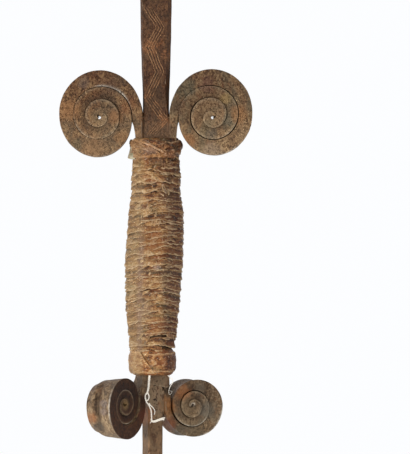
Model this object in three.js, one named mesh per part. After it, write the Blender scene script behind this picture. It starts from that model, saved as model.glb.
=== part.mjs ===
import * as THREE from 'three';

// A hand-forged ceremonial blade with a hide-bound grip between two pairs of rolled
// iron scrolls. Millimetres. The origin is the centre of the grip, +Z runs along the
// blade to its tip, X lies across the blade and the front faces -Y.

// Fits
const seat = 0.3; // clearance between pieces that touch
const seamGap = 0.5; // dark line between the turns of a rolled scroll

// Iron core: blade, tang and lower shaft in one bar
const rootHalfWidth = 6.5; // blade where the upper scrolls leave it
const rootHalfDepth = 4.6;
const shaftHalf = 4; // square shaft below the grip
const shaftChamfer = 0.6;
const leftBevel = 1;
const rightBevel = 2;
const bladeSteps = [
  // height above the grip's centre, half width, half thickness
  [82, 6.7, 4.2], [95, 7.1, 3.7], [112, 7.6, 3.4], [128, 7.9, 3.2], [170, 9.5, 2.9],
  [215, 11.6, 2.6], [248, 12.9, 2.3], [268, 13, 2.1], [284, 10.9, 1.8], [296, 7.2, 1.4],
  [304, 3.6, 1], [309, 0.7, 0.5],
];
const spikeLength = 115; // below the lower collar
const spikeTaperLength = 75;
const spikeTipHalf = 0.9;

// Grip: faceted wooden scales under the hide, with an outline that swells at the hand
const scaleTop = 49.6;
const scaleBottom = -46.3;
const gripSteps = [
  // height, hide beyond the side of the blade's root, hide beyond its face
  [scaleTop, 4.8, 4.4], [32, 5.5, 5], [21, 6.9, 6.1], [0, 7.6, 6.7], [-25, 6.6, 5.9],
  [scaleBottom, 4.6, 4.3],
];
const frontFacetHalf = 4.2;
const sideFacetHalf = 3.5;
const lowerAxisX = -1.75; // the iron kinks sideways inside the grip
const kinkTop = 30;
const kinkBottom = -25;
const lowerTurn = THREE.MathUtils.degToRad(25); // the shaft is twisted about its length

// Hide strip wound round the scales
const stripThickness = 1.3;
const stripLoops = 23;
const broadLoops = 5;
const broadRise = 4.9; // height of one of the broad loops at the top
const rowGap = 0.55;
const stepsPerSide = [2, 4, 2, 4, 2, 4, 2, 4]; // side facet, slope, back facet, slope, ...

// Hide collars over the scroll shanks
const upperCollarTop = 59.25;
const lowerCollarBottom = -59.25;
const upperCollarHalf = [12.3, 10.6];
const upperCollarBulge = 1.2; // folded band end on the right
const lowerCollarHalf = [12, 11.4];
const collarRelief = 0.9;

// Scrolls, always in the order upper right, upper left, lower right, lower left. Radii
// are taken from the eye, at the root and then at each quarter turn. The seam between the
// turns starts at a radius, closes in by a pitch each turn and drifts to one side. The
// inner turns lie back from the front by the recess, or stand out where it is negative. A
// flush scroll keeps its front level with its shank's, a twist bends it forwards about the
// shank's front edge, and a spread sets it off sideways. The groove in the outer side runs
// all round or, where it has a reach, fades that share of a turn from the half turn. The
// back taper is how much smaller the outer turn is at its back.
const shankThickness = { upper: 3.5, lower: 3 };
const shankHalfDepth = { upper: 5.4, lower: 4.3 };
const scrollNames = [
  'upper_right_scroll', 'upper_left_scroll', 'lower_right_scroll', 'lower_left_scroll',
];
const scrollSides = [1, -1, 1, -1];
const scrollWays = [1, 1, -1, -1];
const eyeHeights = [69.4, 69.4, -74.3, -73.3];
const quarterRadii = [
  [21.4, 24.1, 19.9, 18.8], [21.4, 23.5, 19.9, 19.7],
  [14.9, 15.9, 16.4, 12.5], [16, 17.4, 15.4, 13],
];
const seamStarts = [16.5, 16.2, 11.3, 11];
const seamPitches = [6.05, 6.2, 4.6, 4.6];
const seamDrifts = [1.1, 0.7, 0.7, 0.2];
const driftAngles = [58, 87, 83, 83];
const eyeRadii = [0.8, 0.8, 0.7, 0.7];
const scrollHalfDepths = [7.8, 7.8, 7, 8.1];
const grooveDepths = [0.7, 0.7, 1.2, 1.5];
const grooveReaches = [Infinity, Infinity, Infinity, 0.13];
const backTapers = [0, 0, 0, 3];
const recesses = [0.5, 1.8, -0.8, 1.2];
const twistAngles = [0, 0, 0, 31];
const spreads = [0, 0, 0, 1.3];
const flushFronts = [false, false, false, true];
const stepsPerTurn = [26, 26, 24, 24];
const scrollForms = scrollNames.map((name, i) => ({
  name,
  side: scrollSides[i],
  way: scrollWays[i],
  eyeZ: eyeHeights[i],
  radii: quarterRadii[i],
  seamStart: seamStarts[i],
  seamPitch: seamPitches[i],
  drift: seamDrifts[i],
  driftAngle: driftAngles[i],
  eyeRadius: eyeRadii[i],
  halfDepth: scrollHalfDepths[i],
  groove: grooveDepths[i],
  grooveReach: grooveReaches[i],
  taper: backTapers[i],
  recess: recesses[i],
  twist: twistAngles[i],
  spread: spreads[i],
  flush: flushFronts[i],
  steps: stepsPerTurn[i],
}));
const shankSteps = 6;
const tipThickness = 0.9;

// Cotton string tied round the neck of the shaft
const stringDiameter = 1;
const stringSides = 8;
const stringSteps = 80;

const iron = { color: 0x5a4234, roughness: 0.6, metalness: 0.7 };
const wood = { color: 0x6b4a2e, roughness: 0.8, metalness: 0 };
const hide = { color: 0x9a6a3f, roughness: 0.75, metalness: 0 };
const cotton = { color: 0xe9e2d3, roughness: 0.9, metalness: 0 };

const object = new THREE.Group();

function addMesh(name, geometry, finish) {
  const mesh = new THREE.Mesh(geometry, new THREE.MeshStandardMaterial(finish));
  mesh.name = name;
  object.add(mesh);
  return mesh;
}

// Smooth rise from 0 at a to 1 at b.
function rise(value, a, b) {
  const t = THREE.MathUtils.clamp((value - a) / (b - a), 0, 1);
  return t * t * (3 - 2 * t);
}

// Value at a height, read between the rows of a table of heights and values.
function between(rows, height, column) {
  const sorted = [...rows].sort((p, q) => p[0] - q[0]);
  if (height <= sorted[0][0]) return sorted[0][column];
  for (let i = 1; i < sorted.length; i += 1) {
    const [low, high] = [sorted[i - 1], sorted[i]];
    if (height <= high[0]) {
      const t = (height - low[0]) / (high[0] - low[0]);
      return THREE.MathUtils.lerp(low[column], high[column], t);
    }
  }
  return sorted[sorted.length - 1][column];
}

function axisX(z) {
  return lowerAxisX * rise(-z, -kinkTop, -kinkBottom);
}

function coreTurn(z) {
  return lowerTurn * rise(-z, -scaleBottom, -lowerCollarBottom);
}

// A point given across the core and through it, placed at its height on the kinked axis.
function onCore(across, through, z, turn = coreTurn(z)) {
  return new THREE.Vector3(
    axisX(z) + across * Math.cos(turn) - through * Math.sin(turn),
    across * Math.sin(turn) + through * Math.cos(turn),
    z,
  );
}

// Closed body through rows of matching points. The first and last outlines are flat
// shapes with the same corners, and say how the two ends are filled.
function loft(rows, firstOutline, lastOutline) {
  const count = rows[0].length;
  const positions = [];
  const push = (a, b, c) => positions.push(...a.toArray(), ...b.toArray(), ...c.toArray());
  for (let i = 0; i < rows.length - 1; i += 1) {
    for (let j = 0; j < count; j += 1) {
      const k = (j + 1) % count;
      push(rows[i][j], rows[i][k], rows[i + 1][k]);
      push(rows[i][j], rows[i + 1][k], rows[i + 1][j]);
    }
  }
  const fill = (row, outline, ascending) => {
    const whole = THREE.ShapeUtils.area(outline);
    for (const [a, b, c] of THREE.ShapeUtils.triangulateShape([...outline], [])) {
      const ear = THREE.ShapeUtils.area([outline[a], outline[b], outline[c]]);
      if ((ear * whole > 0) === ascending) push(row[a], row[b], row[c]);
      else push(row[a], row[c], row[b]);
    }
  };
  fill(rows[0], firstOutline, false);
  fill(rows[rows.length - 1], lastOutline, true);
  return outward(positions);
}

// Geometry whose faces point out, whichever way its rows ran.
function outward(positions) {
  let volume = 0;
  const [a, b, c] = [new THREE.Vector3(), new THREE.Vector3(), new THREE.Vector3()];
  for (let i = 0; i < positions.length; i += 9) {
    a.fromArray(positions, i);
    b.fromArray(positions, i + 3);
    c.fromArray(positions, i + 6);
    volume += a.dot(b.cross(c));
  }
  if (volume < 0) {
    for (let i = 0; i < positions.length; i += 9) {
      for (let j = 0; j < 3; j += 1) {
        const kept = positions[i + 3 + j];
        positions[i + 3 + j] = positions[i + 6 + j];
        positions[i + 6 + j] = kept;
      }
    }
  }
  const geometry = new THREE.BufferGeometry();
  geometry.setAttribute('position', new THREE.Float32BufferAttribute(positions, 3));
  geometry.computeVertexNormals();
  return geometry;
}

// Least distance between points of two rows that are at least half a turn apart.
function leastGap(rows, rowsApart) {
  let least = Infinity;
  for (let i = 0; i < rows.length; i += 1) {
    for (let j = i + rowsApart; j < rows.length; j += 1) {
      for (const p of rows[i]) {
        for (const q of rows[j]) least = Math.min(least, p.distanceToSquared(q));
      }
    }
  }
  return Math.sqrt(least);
}

function coreOutline(halfWidth, halfDepth, edge, left, right) {
  return [
    new THREE.Vector2(halfWidth, -edge),
    new THREE.Vector2(halfWidth, edge),
    new THREE.Vector2(halfWidth - right, halfDepth),
    new THREE.Vector2(left - halfWidth, halfDepth),
    new THREE.Vector2(-halfWidth, edge),
    new THREE.Vector2(-halfWidth, -edge),
    new THREE.Vector2(left - halfWidth, -halfDepth),
    new THREE.Vector2(halfWidth - right, -halfDepth),
  ];
}

const scrollRootZ = eyeHeights[0];
const spikeTipZ = lowerCollarBottom - spikeLength;
const tangSteps = [
  // height, half width, half depth
  [scrollRootZ + 4, rootHalfWidth, rootHalfDepth],
  [scaleTop - 8, rootHalfWidth, rootHalfDepth],
  [scaleBottom + 20, shaftHalf, shaftHalf],
  [spikeTipZ + spikeTaperLength, shaftHalf, shaftHalf],
  [spikeTipZ + 4, spikeTipHalf * 1.6, spikeTipHalf * 1.6],
  [spikeTipZ, spikeTipHalf * 0.4, spikeTipHalf * 0.4],
];
const coreSteps = [...bladeSteps, ...tangSteps];

function bladeAndShaft() {
  const twistHeights = [0.25, 0.5, 0.75, 1].map((t) => (
    THREE.MathUtils.lerp(scaleBottom, lowerCollarBottom, t)));
  const kinkHeights = [0, 0.25, 0.5, 0.75, 1].map((t) => (
    THREE.MathUtils.lerp(kinkTop, kinkBottom, t)));
  const heights = [...coreSteps.map((row) => row[0]), ...twistHeights, ...kinkHeights];
  heights.push(scaleBottom);
  heights.sort((p, q) => q - p);
  const rows = [];
  const outlines = [];
  for (const z of heights) {
    const halfWidth = between(coreSteps, z, 1);
    const halfDepth = between(coreSteps, z, 2);
    const blade = rise(z, scrollRootZ, scrollRootZ + 14);
    const chamfer = Math.min(shaftChamfer, halfDepth * 0.4);
    const edge = THREE.MathUtils.lerp(halfDepth - chamfer, halfDepth * 0.4, blade);
    const bevel = (width) => (
      Math.min(THREE.MathUtils.lerp(chamfer, width, blade), halfWidth * 0.6));
    const outline = coreOutline(halfWidth, halfDepth, edge, bevel(leftBevel), bevel(rightBevel));
    outlines.push(outline);
    rows.push(outline.map((p) => onCore(p.x, p.y, z)));
  }
  return loft(rows, outlines[0], outlines[outlines.length - 1]);
}

// Radius between quarter-turn values, smooth through each and level at the root.
function quarterRadius(values, turnAngle) {
  const t = turnAngle / (Math.PI / 2);
  const i = Math.min(Math.floor(t), values.length - 2);
  const at = (k) => values[k < 0 ? -k : Math.min(k, values.length - 1)];
  const f = t - i;
  const [a, b, c, d] = [at(i - 1), at(i), at(i + 1), at(i + 2)];
  return b + 0.5 * f * (c - a + f * (2 * a - 5 * b + 4 * c - d + f * (3 * (b - c) + d - a)));
}

// Rows of one rolled scroll, from the shank's end under the collar to the tip in the eye.
function scrollRows(form) {
  const pair = form.way > 0 ? 'upper' : 'lower';
  const coreHalf = form.way > 0 ? rootHalfWidth : shaftHalf;
  const shankEndZ = form.way > 0 ? scaleTop + seat : scaleBottom - 2 * seat;
  const collarEdgeZ = form.way > 0 ? upperCollarTop : lowerCollarBottom;
  const inner = coreHalf + seat;
  const turn = form.way > 0 ? 0 : lowerTurn;
  const fullTurn = 2 * Math.PI;
  const twist = THREE.MathUtils.degToRad(form.twist) * -form.side;
  const halfShank = shankHalfDepth[pair];
  const eyeAcross = inner + form.radii[0];
  const lastAngle = fullTurn * (
    (form.seamStart - form.eyeRadius - seamGap / 2 - tipThickness) / form.seamPitch + 1);

  const seam = (angle) => {
    const fade = 1 - rise(angle, 1.4 * fullTurn, 2.4 * fullTurn);
    const drift = form.drift * fade * Math.cos(angle - THREE.MathUtils.degToRad(form.driftAngle));
    return form.seamStart - (form.seamPitch * angle) / fullTurn + drift;
  };
  const closing = [...form.radii, seam(0) - seamGap / 2];
  const outer = (angle) => (
    angle < fullTurn ? quarterRadius(closing, angle) : seam(angle - fullTurn) - seamGap / 2);

  // The section runs from the face beside the core to the face beside the eye.
  const section = (far, near, halfDepth, groove = 0, back = 0, taper = 0) => {
    const cut = Math.min(0.6, (far - near) * 0.25);
    const dip = Math.min(groove, (far - near) * 0.3);
    const middle = back + (form.flush ? halfDepth - halfShank : 0);
    return [
      [near, -halfDepth], [near, halfDepth], [far - taper - cut, halfDepth],
      [far - taper * 0.8, halfDepth - 1.5 * cut],
      [far - dip - taper * 0.4, halfDepth * 0.3], [far - dip - taper * 0.2, -halfDepth * 0.3],
      [far, 1.5 * cut - halfDepth], [far - cut, -halfDepth],
    ].map(([radius, through]) => new THREE.Vector2(radius, through + middle));
  };

  // A bent scroll swings about the front edge of its shank, beside the core.
  const place = (across, through, z, share, angle) => {
    const edge = new THREE.Vector2(form.side * inner, -halfShank);
    const point = new THREE.Vector2(form.side * across, through);
    point.rotateAround(edge, twist * share);
    return onCore(point.x + form.side * form.spread * share, point.y, z, angle);
  };

  const rows = [];
  const outlines = [];
  const shankLength = Math.abs(form.eyeZ - shankEndZ);
  const collarShare = Math.abs(collarEdgeZ - shankEndZ) / shankLength;
  for (let i = 0; i < shankSteps; i += 1) {
    const t = i / shankSteps;
    const z = THREE.MathUtils.lerp(shankEndZ, form.eyeZ, t);
    const near = form.radii[0] - THREE.MathUtils.lerp(
      shankThickness[pair], form.radii[0] - seam(0) - seamGap / 2, rise(t, collarShare, 1));
    const share = rise(t, collarShare, 1);
    const halfDepth = THREE.MathUtils.lerp(halfShank, form.halfDepth, 0.35 * share);
    const outline = section(form.radii[0], near, halfDepth);
    outlines.push(outline);
    rows.push(outline.map((p) => (
      place(eyeAcross - p.x, p.y, z, share, form.way > 0 ? turn : coreTurn(z)))));
  }
  const count = Math.ceil((lastAngle / fullTurn) * form.steps);
  for (let i = 0; i <= count; i += 1) {
    const angle = (lastAngle * i) / count;
    const opened = rise(angle, 0, Math.PI / 2);
    const near = Math.max(form.eyeRadius, seam(angle) + seamGap / 2);
    const halfDepth = THREE.MathUtils.lerp(halfShank, form.halfDepth, 0.35 + 0.65 * opened);
    const turns = angle / fullTurn;
    const groove = form.groove * opened * Math.exp(-(((turns - 0.5) / form.grooveReach) ** 2));
    const back = form.recess * (0.6 * rise(turns, 0.8, 1.15) + 0.4 * rise(turns, 1.2, 2.6));
    const taper = form.taper * opened * (1 - rise(turns, 0.75, 1));
    const outline = section(outer(angle), near, halfDepth, groove, back, taper);
    outlines.push(outline);
    rows.push(outline.map((p) => place(
      eyeAcross - p.x * Math.cos(angle), p.y,
      form.eyeZ + form.way * p.x * Math.sin(angle), 1, turn)));
  }
  return { rows, first: outlines[0], last: outlines[outlines.length - 1] };
}

// Corners of the faceted grip at a height, moved outwards from the wood.
function gripCorners(z, offset) {
  const w = rootHalfWidth + between(gripSteps, z, 1) - stripThickness - seat;
  const h = rootHalfDepth + between(gripSteps, z, 2) - stripThickness - seat;
  const slope = Math.hypot(h - sideFacetHalf, w - frontFacetHalf);
  const g = sideFacetHalf + (offset * (slope - (h - sideFacetHalf))) / (w - frontFacetHalf);
  const f = frontFacetHalf + (offset * (slope - (w - frontFacetHalf))) / (h - sideFacetHalf);
  const [x, y] = [w + offset, h + offset];
  return [
    [x, -g], [x, g], [f, y], [-f, y], [-x, g], [-x, -g], [-f, -y], [f, -y],
  ].map(([px, py]) => new THREE.Vector3(axisX(z) + px, py, z));
}

function gripPoint(z, offset, side, share) {
  const corners = gripCorners(z, offset);
  return corners[side].clone().lerp(corners[(side + 1) % corners.length], share);
}

function gripScale(front) {
  const steps = 14;
  const sign = front ? -1 : 1;
  const rows = [];
  const outlines = [];
  for (let i = 0; i <= steps; i += 1) {
    const z = THREE.MathUtils.lerp(scaleTop, scaleBottom, i / steps);
    const corners = gripCorners(z, 0);
    const [x, g] = [corners[1].x - axisX(z), corners[1].y];
    const [f, y] = [corners[2].x - axisX(z), corners[2].y];
    const slotX = between(coreSteps, z, 1) + seat;
    const slotY = between(coreSteps, z, 2) + seat;
    const split = seat / 2;
    const outline = [
      [x, split], [x, g], [f, y], [-f, y], [-x, g], [-x, split],
      [-slotX, split], [-slotX, slotY], [slotX, slotY], [slotX, split],
    ].map(([px, py]) => new THREE.Vector2(px, sign * py));
    outlines.push(outline);
    rows.push(outline.map((p) => onCore(p.x, p.y, z, 0)));
  }
  return loft(rows, outlines[0], outlines[outlines.length - 1]);
}

// One unbroken strip of hide, wound down the grip.
function hideWrapRows() {
  const length = scaleTop - scaleBottom;
  const narrowRise = (length - (broadLoops + 0.5) * broadRise + rowGap) / (
    stripLoops - broadLoops + 0.5);
  const stepsPerLoop = stepsPerSide.reduce((sum, n) => sum + n, 0);
  const drop = (loops) => (
    Math.min(loops, broadLoops) * broadRise + Math.max(loops - broadLoops, 0) * narrowRise);
  const halfHeight = (loops) => (
    (Math.min(drop(loops + 1) - drop(loops), drop(loops) - drop(loops - 1)) - rowGap) / 2);
  const rows = [];
  let outline = [];
  for (let i = 0; i <= stripLoops * stepsPerLoop; i += 1) {
    const loops = i / stepsPerLoop;
    let side = 0;
    let step = i % stepsPerLoop;
    while (step >= stepsPerSide[side]) {
      step -= stepsPerSide[side];
      side += 1;
    }
    const half = halfHeight(loops);
    const middle = scaleTop - halfHeight(0) - drop(loops);
    outline = [
      [seat, -half], [seat + 0.6 * stripThickness, -half],
      [seat + stripThickness, -0.3 * half], [seat + stripThickness, 0.3 * half],
      [seat + 0.6 * stripThickness, half], [seat, half],
    ].map(([out, up]) => new THREE.Vector2(out, up));
    rows.push(outline.map((p) => (
      gripPoint(middle + p.y, p.x, side, step / stepsPerSide[side]))));
  }
  return { rows, outline, stepsPerLoop };
}

// Radius of a rounded box outline at an angle.
function boxRadius(half, power, angle) {
  const x = Math.abs(Math.cos(angle) / half[0]) ** power;
  const y = Math.abs(Math.sin(angle) / half[1]) ** power;
  return (x + y) ** (-1 / power);
}

// Ring of bound hide: the band's edges cross its outside as shallow valleys.
function collar({ bottom, top, innerHalf, innerPower, outerHalf, bulge, valleys, turn }) {
  const around = 40;
  const levels = [-1, -0.72, -0.25, 0.25, 0.72, 1];
  const middle = (bottom + top) / 2;
  const halfHeight = (top - bottom) / 2;
  const x0 = axisX(middle);
  const rows = [];
  for (let i = 0; i <= around; i += 1) {
    const angle = (2 * Math.PI * i) / around;
    const at = (radius, level) => new THREE.Vector3(
      x0 + radius * Math.cos(angle), radius * Math.sin(angle), middle + level * halfHeight);
    const inside = boxRadius(innerHalf, innerPower, angle - turn);
    const swell = bulge * rise(Math.cos(angle), 0.5, 1);
    const outside = boxRadius(outerHalf, 2.4, angle) + swell;
    const row = [at(inside, 1), at(inside, -1)];
    for (const level of levels) {
      let radius = outside - collarRelief * Math.max(0, Math.abs(level) - 0.3) * 1.6;
      for (const valley of valleys) {
        radius -= collarRelief * Math.exp(-(((level - valley(angle)) * 3) ** 2));
      }
      row.push(at(Math.max(radius, inside + 0.8), level));
    }
    rows.push(row);
  }
  return closedRing(rows.slice(0, around));
}

function closedRing(rows) {
  const positions = [];
  const count = rows[0].length;
  for (let i = 0; i < rows.length; i += 1) {
    const next = rows[(i + 1) % rows.length];
    for (let j = 0; j < count; j += 1) {
      const k = (j + 1) % count;
      const [a, b, c, d] = [rows[i][j], rows[i][k], next[k], next[j]];
      positions.push(...a.toArray(), ...b.toArray(), ...c.toArray());
      positions.push(...a.toArray(), ...c.toArray(), ...d.toArray());
    }
  }
  return outward(positions);
}

// Loose end of the upper band, standing off the collar's lower left.
function looseStripEnd() {
  const steps = 7;
  const thickness = 0.7;
  const [firstAngle, lastAngle] = [3.2, 4.1];
  const [low, high] = [scaleTop - 0.6, scaleTop + 5.4];
  const stand = upperCollarHalf.map((half) => half + seat + 0.5);
  const rows = [];
  let outline = [];
  for (let i = 0; i <= steps; i += 1) {
    const t = i / steps;
    const angle = THREE.MathUtils.lerp(firstAngle, lastAngle, t);
    const radius = boxRadius(stand, 2.4, angle) + 0.1;
    const flare = 0.9 * Math.sin(Math.PI * t) + 0.2;
    const dropped = low + 0.8 * t;
    outline = [[0, high], [thickness, high], [thickness + flare, dropped], [flare, dropped]]
      .map(([out, z]) => new THREE.Vector2(out, z));
    rows.push(outline.map((p) => new THREE.Vector3(
      axisX(p.y) + (radius + p.x) * Math.cos(angle), (radius + p.x) * Math.sin(angle), p.y)));
  }
  return loft(rows, outline, outline);
}

// Route of the string, across and through the twisted shaft and by height: from under
// the lower collar, round a slack ring, down and across the shaft's front, back between
// shaft and arm, up behind the arm, forwards through the fork and under the collar again.
const ringMiddle = [-5.9, -69.85];
const ringHalf = [1.05, 1.8];
const ringTurnPoints = 8;
const ringDepth = -6.5;
const ringStand = 0.22; // each point of the ring lies this much further forward
const ringLean = 0.1; // and this much further to the left
const ringPoints = [];
for (let i = 0; i <= ringTurnPoints + 3; i += 1) {
  const angle = Math.PI / 2 + (i / ringTurnPoints) * 2 * Math.PI;
  ringPoints.push([
    ringMiddle[0] + ringHalf[0] * Math.cos(angle) - ringLean * i, ringDepth - ringStand * i,
    ringMiddle[1] + ringHalf[1] * Math.sin(angle),
  ]);
}
const stringPoints = [
  [-3.9, -5.3, -57.8], [-4, -5.3, -59.5], [-4.4, -5.4, -62.3], [-4.9, -5.9, -65.5],
  ...ringPoints,
  [-7.1, -8.6, -72.5], [-5.8, -7.6, -73.5], [-5, -6.9, -74.3], [-3.4, -5.6, -76.6],
  [-2.9, -5.1, -78.7], [-2.7, -5, -81.2], [-2.2, -5, -82], [-0.9, -5, -81.9],
  [0.7, -5, -81.4], [2.4, -5, -80.9], [3.3, -5, -80.7], [4.2, -4.95, -81],
  [4.85, -4.2, -82.2], [5.05, -2, -83.5], [5.05, 2, -83.8], [5.05, 5.5, -83.8],
  [5.2, 7.9, -82], [6.5, 8.1, -76], [8, 8.1, -70], [8.4, 7.6, -67.9], [8.5, 5, -67.3],
  [8.5, 0, -67.3], [8.5, -4.6, -67.4], [8, -6.1, -67.6], [6.9, -6.5, -67.3],
  [6.3, -6.3, -66], [6.6, -6.2, -64.5], [7.6, -6.2, -63.2], [7.85, -6.2, -62],
  [7.2, -6, -61.2], [6.65, -5.8, -60.3], [6, -5.3, -59.2], [5.2, -5.3, -57.8],
];

function labelString() {
  const points = stringPoints.map(([across, through, z]) => onCore(across, through, z));
  const curve = new THREE.CatmullRomCurve3(points, false, 'centripetal');
  const section = new THREE.Shape();
  for (let i = 0; i < stringSides; i += 1) {
    const angle = (2 * Math.PI * (i + 0.5)) / stringSides;
    const corner = [Math.cos(angle), Math.sin(angle)].map((v) => (v * stringDiameter) / 2);
    if (i === 0) section.moveTo(...corner);
    else section.lineTo(...corner);
  }
  return new THREE.ExtrudeGeometry(section, { steps: stringSteps, extrudePath: curve });
}

addMesh('blade_and_shaft', bladeAndShaft(), iron);
for (const form of scrollForms) {
  const { rows, first, last } = scrollRows(form);
  addMesh(form.name, loft(rows, first, last), iron);
}
addMesh('front_grip_scale', gripScale(true), wood);
addMesh('back_grip_scale', gripScale(false), wood);

const wrap = hideWrapRows();
addMesh('hide_wrap', loft(wrap.rows, wrap.outline, wrap.outline), hide);
console.log(`least gap in the wrap: ${leastGap(wrap.rows, wrap.stepsPerLoop / 2).toFixed(2)} mm`);

const upperShankHalf = rootHalfWidth + seat + shankThickness.upper;
const lowerShankHalf = shaftHalf + seat + shankThickness.lower;
addMesh('upper_collar', collar({
  bottom: scaleTop + seat, top: upperCollarTop, outerHalf: upperCollarHalf,
  innerHalf: [upperShankHalf + 1, shankHalfDepth.upper + 1], innerPower: 8,
  bulge: upperCollarBulge, turn: 0,
  valleys: [(a) => 1.15 * Math.sin(a + 0.3), (a) => -1.15 * Math.sin(a - 0.5)],
}), hide);
addMesh('lower_collar', collar({
  bottom: lowerCollarBottom, top: scaleBottom - seat, outerHalf: lowerCollarHalf,
  innerHalf: [lowerShankHalf + 1.5, shankHalfDepth.lower + 2.9], innerPower: 3,
  bulge: 0, turn: lowerTurn / 2, valleys: [(a) => 1.3 * Math.sin(a - 0.1)],
}), hide);
addMesh('loose_strip_end', looseStripEnd(), hide);
addMesh('label_string', labelString(), cotton);

export default object;
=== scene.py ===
# %% [markdown]
# # A forged blade with rolled scrolls and a hide-bound grip
#
# The real thing was made by a smith and finished by hand. A bar was drawn out into a blade
# at one end and a square spike at the other. Four thinner bars were rolled up into scrolls
# and laid beside it, and the grip between them was bound with wet hide, which shrank and
# hardened as it dried. The CAD model holds these pieces in their true places. Here each
# one gets the surface that the hammer, the rust and the hands gave it.

import math
import random

import bmesh
import bpy
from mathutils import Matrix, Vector, noise


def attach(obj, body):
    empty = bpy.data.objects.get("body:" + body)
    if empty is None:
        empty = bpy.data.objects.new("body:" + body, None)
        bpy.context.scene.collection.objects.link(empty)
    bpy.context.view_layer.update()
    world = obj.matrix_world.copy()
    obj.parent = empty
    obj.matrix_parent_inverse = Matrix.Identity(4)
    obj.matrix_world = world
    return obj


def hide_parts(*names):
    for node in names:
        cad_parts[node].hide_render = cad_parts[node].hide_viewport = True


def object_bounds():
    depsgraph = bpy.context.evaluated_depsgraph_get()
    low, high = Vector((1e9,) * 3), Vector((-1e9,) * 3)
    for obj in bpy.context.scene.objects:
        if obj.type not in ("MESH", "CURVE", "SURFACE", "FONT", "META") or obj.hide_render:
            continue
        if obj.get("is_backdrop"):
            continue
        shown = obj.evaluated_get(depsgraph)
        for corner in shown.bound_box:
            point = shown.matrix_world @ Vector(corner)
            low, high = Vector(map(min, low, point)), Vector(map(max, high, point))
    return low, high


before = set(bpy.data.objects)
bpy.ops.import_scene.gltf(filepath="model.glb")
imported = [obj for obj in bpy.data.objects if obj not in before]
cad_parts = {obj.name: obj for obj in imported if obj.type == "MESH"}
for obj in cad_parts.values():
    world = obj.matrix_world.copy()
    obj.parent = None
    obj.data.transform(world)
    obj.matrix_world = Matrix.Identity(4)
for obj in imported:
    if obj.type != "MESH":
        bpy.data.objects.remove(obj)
cad_low, cad_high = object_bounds()
print("nodes:", ", ".join(sorted(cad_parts)))

# %% [markdown]
# ## Camera
#
# The scrolls in the photograph show hardly any of their sides, so it was taken from far
# off with a long lens. The camera stands 2.4 m in front of the grip. The picture is taller
# than wide, so its height fills the sensor's longer side, and the lens follows from that.

# %% Place the camera
MM = 0.001
camera_distance = 2400
view_height = 227
view_centre = (24.5, 14.75)

bpy.ops.object.camera_add(
    location=(view_centre[0] * MM, -camera_distance * MM, view_centre[1] * MM),
    rotation=(math.radians(90), 0, 0))
camera = bpy.context.object
camera.data.lens = camera.data.sensor_width * camera_distance / view_height
bpy.context.scene.camera = camera
bpy.context.scene.view_settings.view_transform = "Standard"
print(f"lens: {camera.data.lens:.0f} mm")

# %% [markdown]
# ## Light and background
#
# The left sides and the undersides are bright in the photograph and the right sides are
# dark. One large soft lamp low on the left gives that, a weak one above fills the front,
# and an even sky lights the shadows.


# %% Add the lamps
def clear_selection():
    for item in bpy.context.selected_objects:
        item.select_set(False)


def add_lamp(name, place, power, size):
    """A soft square lamp that faces the grip."""
    direction = -Vector(place)
    bpy.ops.object.light_add(
        type="AREA", location=place, rotation=direction.to_track_quat("-Z", "Y").to_euler())
    lamp = bpy.context.object
    lamp.name = name
    lamp.data.energy = power
    lamp.data.size = size
    print(f"{name}: {power} W, {direction.length:.1f} m from the grip")


add_lamp("window_light", (-1.2, -1.15, -0.12), 23, 0.4)
add_lamp("room_light", (0.3, -1.6, 0.9), 3, 0.6)

# %% [markdown]
# The background has to be nearly white without throwing that much light on the object. A
# Light Path node tells what kind of ray is asking, so the world is white only for rays that
# come from the camera, from a reflection or through something clear, and dimmer for the rest.

# %% Light the world
sky_strength, backdrop_strength = 0.36, 1.0
sky_colour, backdrop_colour = (1, 1, 1, 1), (0.975, 0.985, 1, 1)
world = bpy.data.worlds.new("studio")
bpy.context.scene.world = world
world.use_nodes = True
sky = world.node_tree
sky.nodes.clear()


def either_ray(first, second):
    """1 for a ray of either kind."""
    node = sky.nodes.new("ShaderNodeMath")
    node.operation = "MAXIMUM"
    sky.links.new(first, node.inputs[0])
    sky.links.new(second, node.inputs[1])
    return node.outputs[0]


def background(colour, strength):
    node = sky.nodes.new("ShaderNodeBackground")
    node.inputs["Color"].default_value = colour
    node.inputs["Strength"].default_value = strength
    return node.outputs[0]


rays = sky.nodes.new("ShaderNodeLightPath").outputs
seen = either_ray(rays["Is Camera Ray"], rays["Is Glossy Ray"])
seen = either_ray(seen, rays["Is Transmission Ray"])
either_sky = sky.nodes.new("ShaderNodeMixShader")
sky.links.new(seen, either_sky.inputs[0])
sky.links.new(background(sky_colour, sky_strength), either_sky.inputs[1])
sky.links.new(background(backdrop_colour, backdrop_strength), either_sky.inputs[2])
sky_output = sky.nodes.new("ShaderNodeOutputWorld")
sky.links.new(either_sky.outputs[0], sky_output.inputs[0])
print(f"sky {sky_strength}, background {backdrop_strength}")

# %% [markdown]
# The floor is a plain square just below the spike's tip.

# %% Lay the floor
floor_side, floor_drop = 2.4, 0.001
clear_selection()
bpy.ops.mesh.primitive_plane_add(size=floor_side, location=(0, 0, cad_low.z - floor_drop))
floor = bpy.context.object
floor.name = "floor"
floor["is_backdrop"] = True
print(f"the floor lies at {floor.location.z / MM:.0f} mm")

# %% [markdown]
# ## Sums on shader sockets
#
# A finish is a pattern worked out at every point of the surface. Written out as nodes and
# links, such a sum is hard to read. The class below wraps a socket, so that a mask can be
# written as 1 - rust * 0.5, and each sign adds its Math node.


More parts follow.
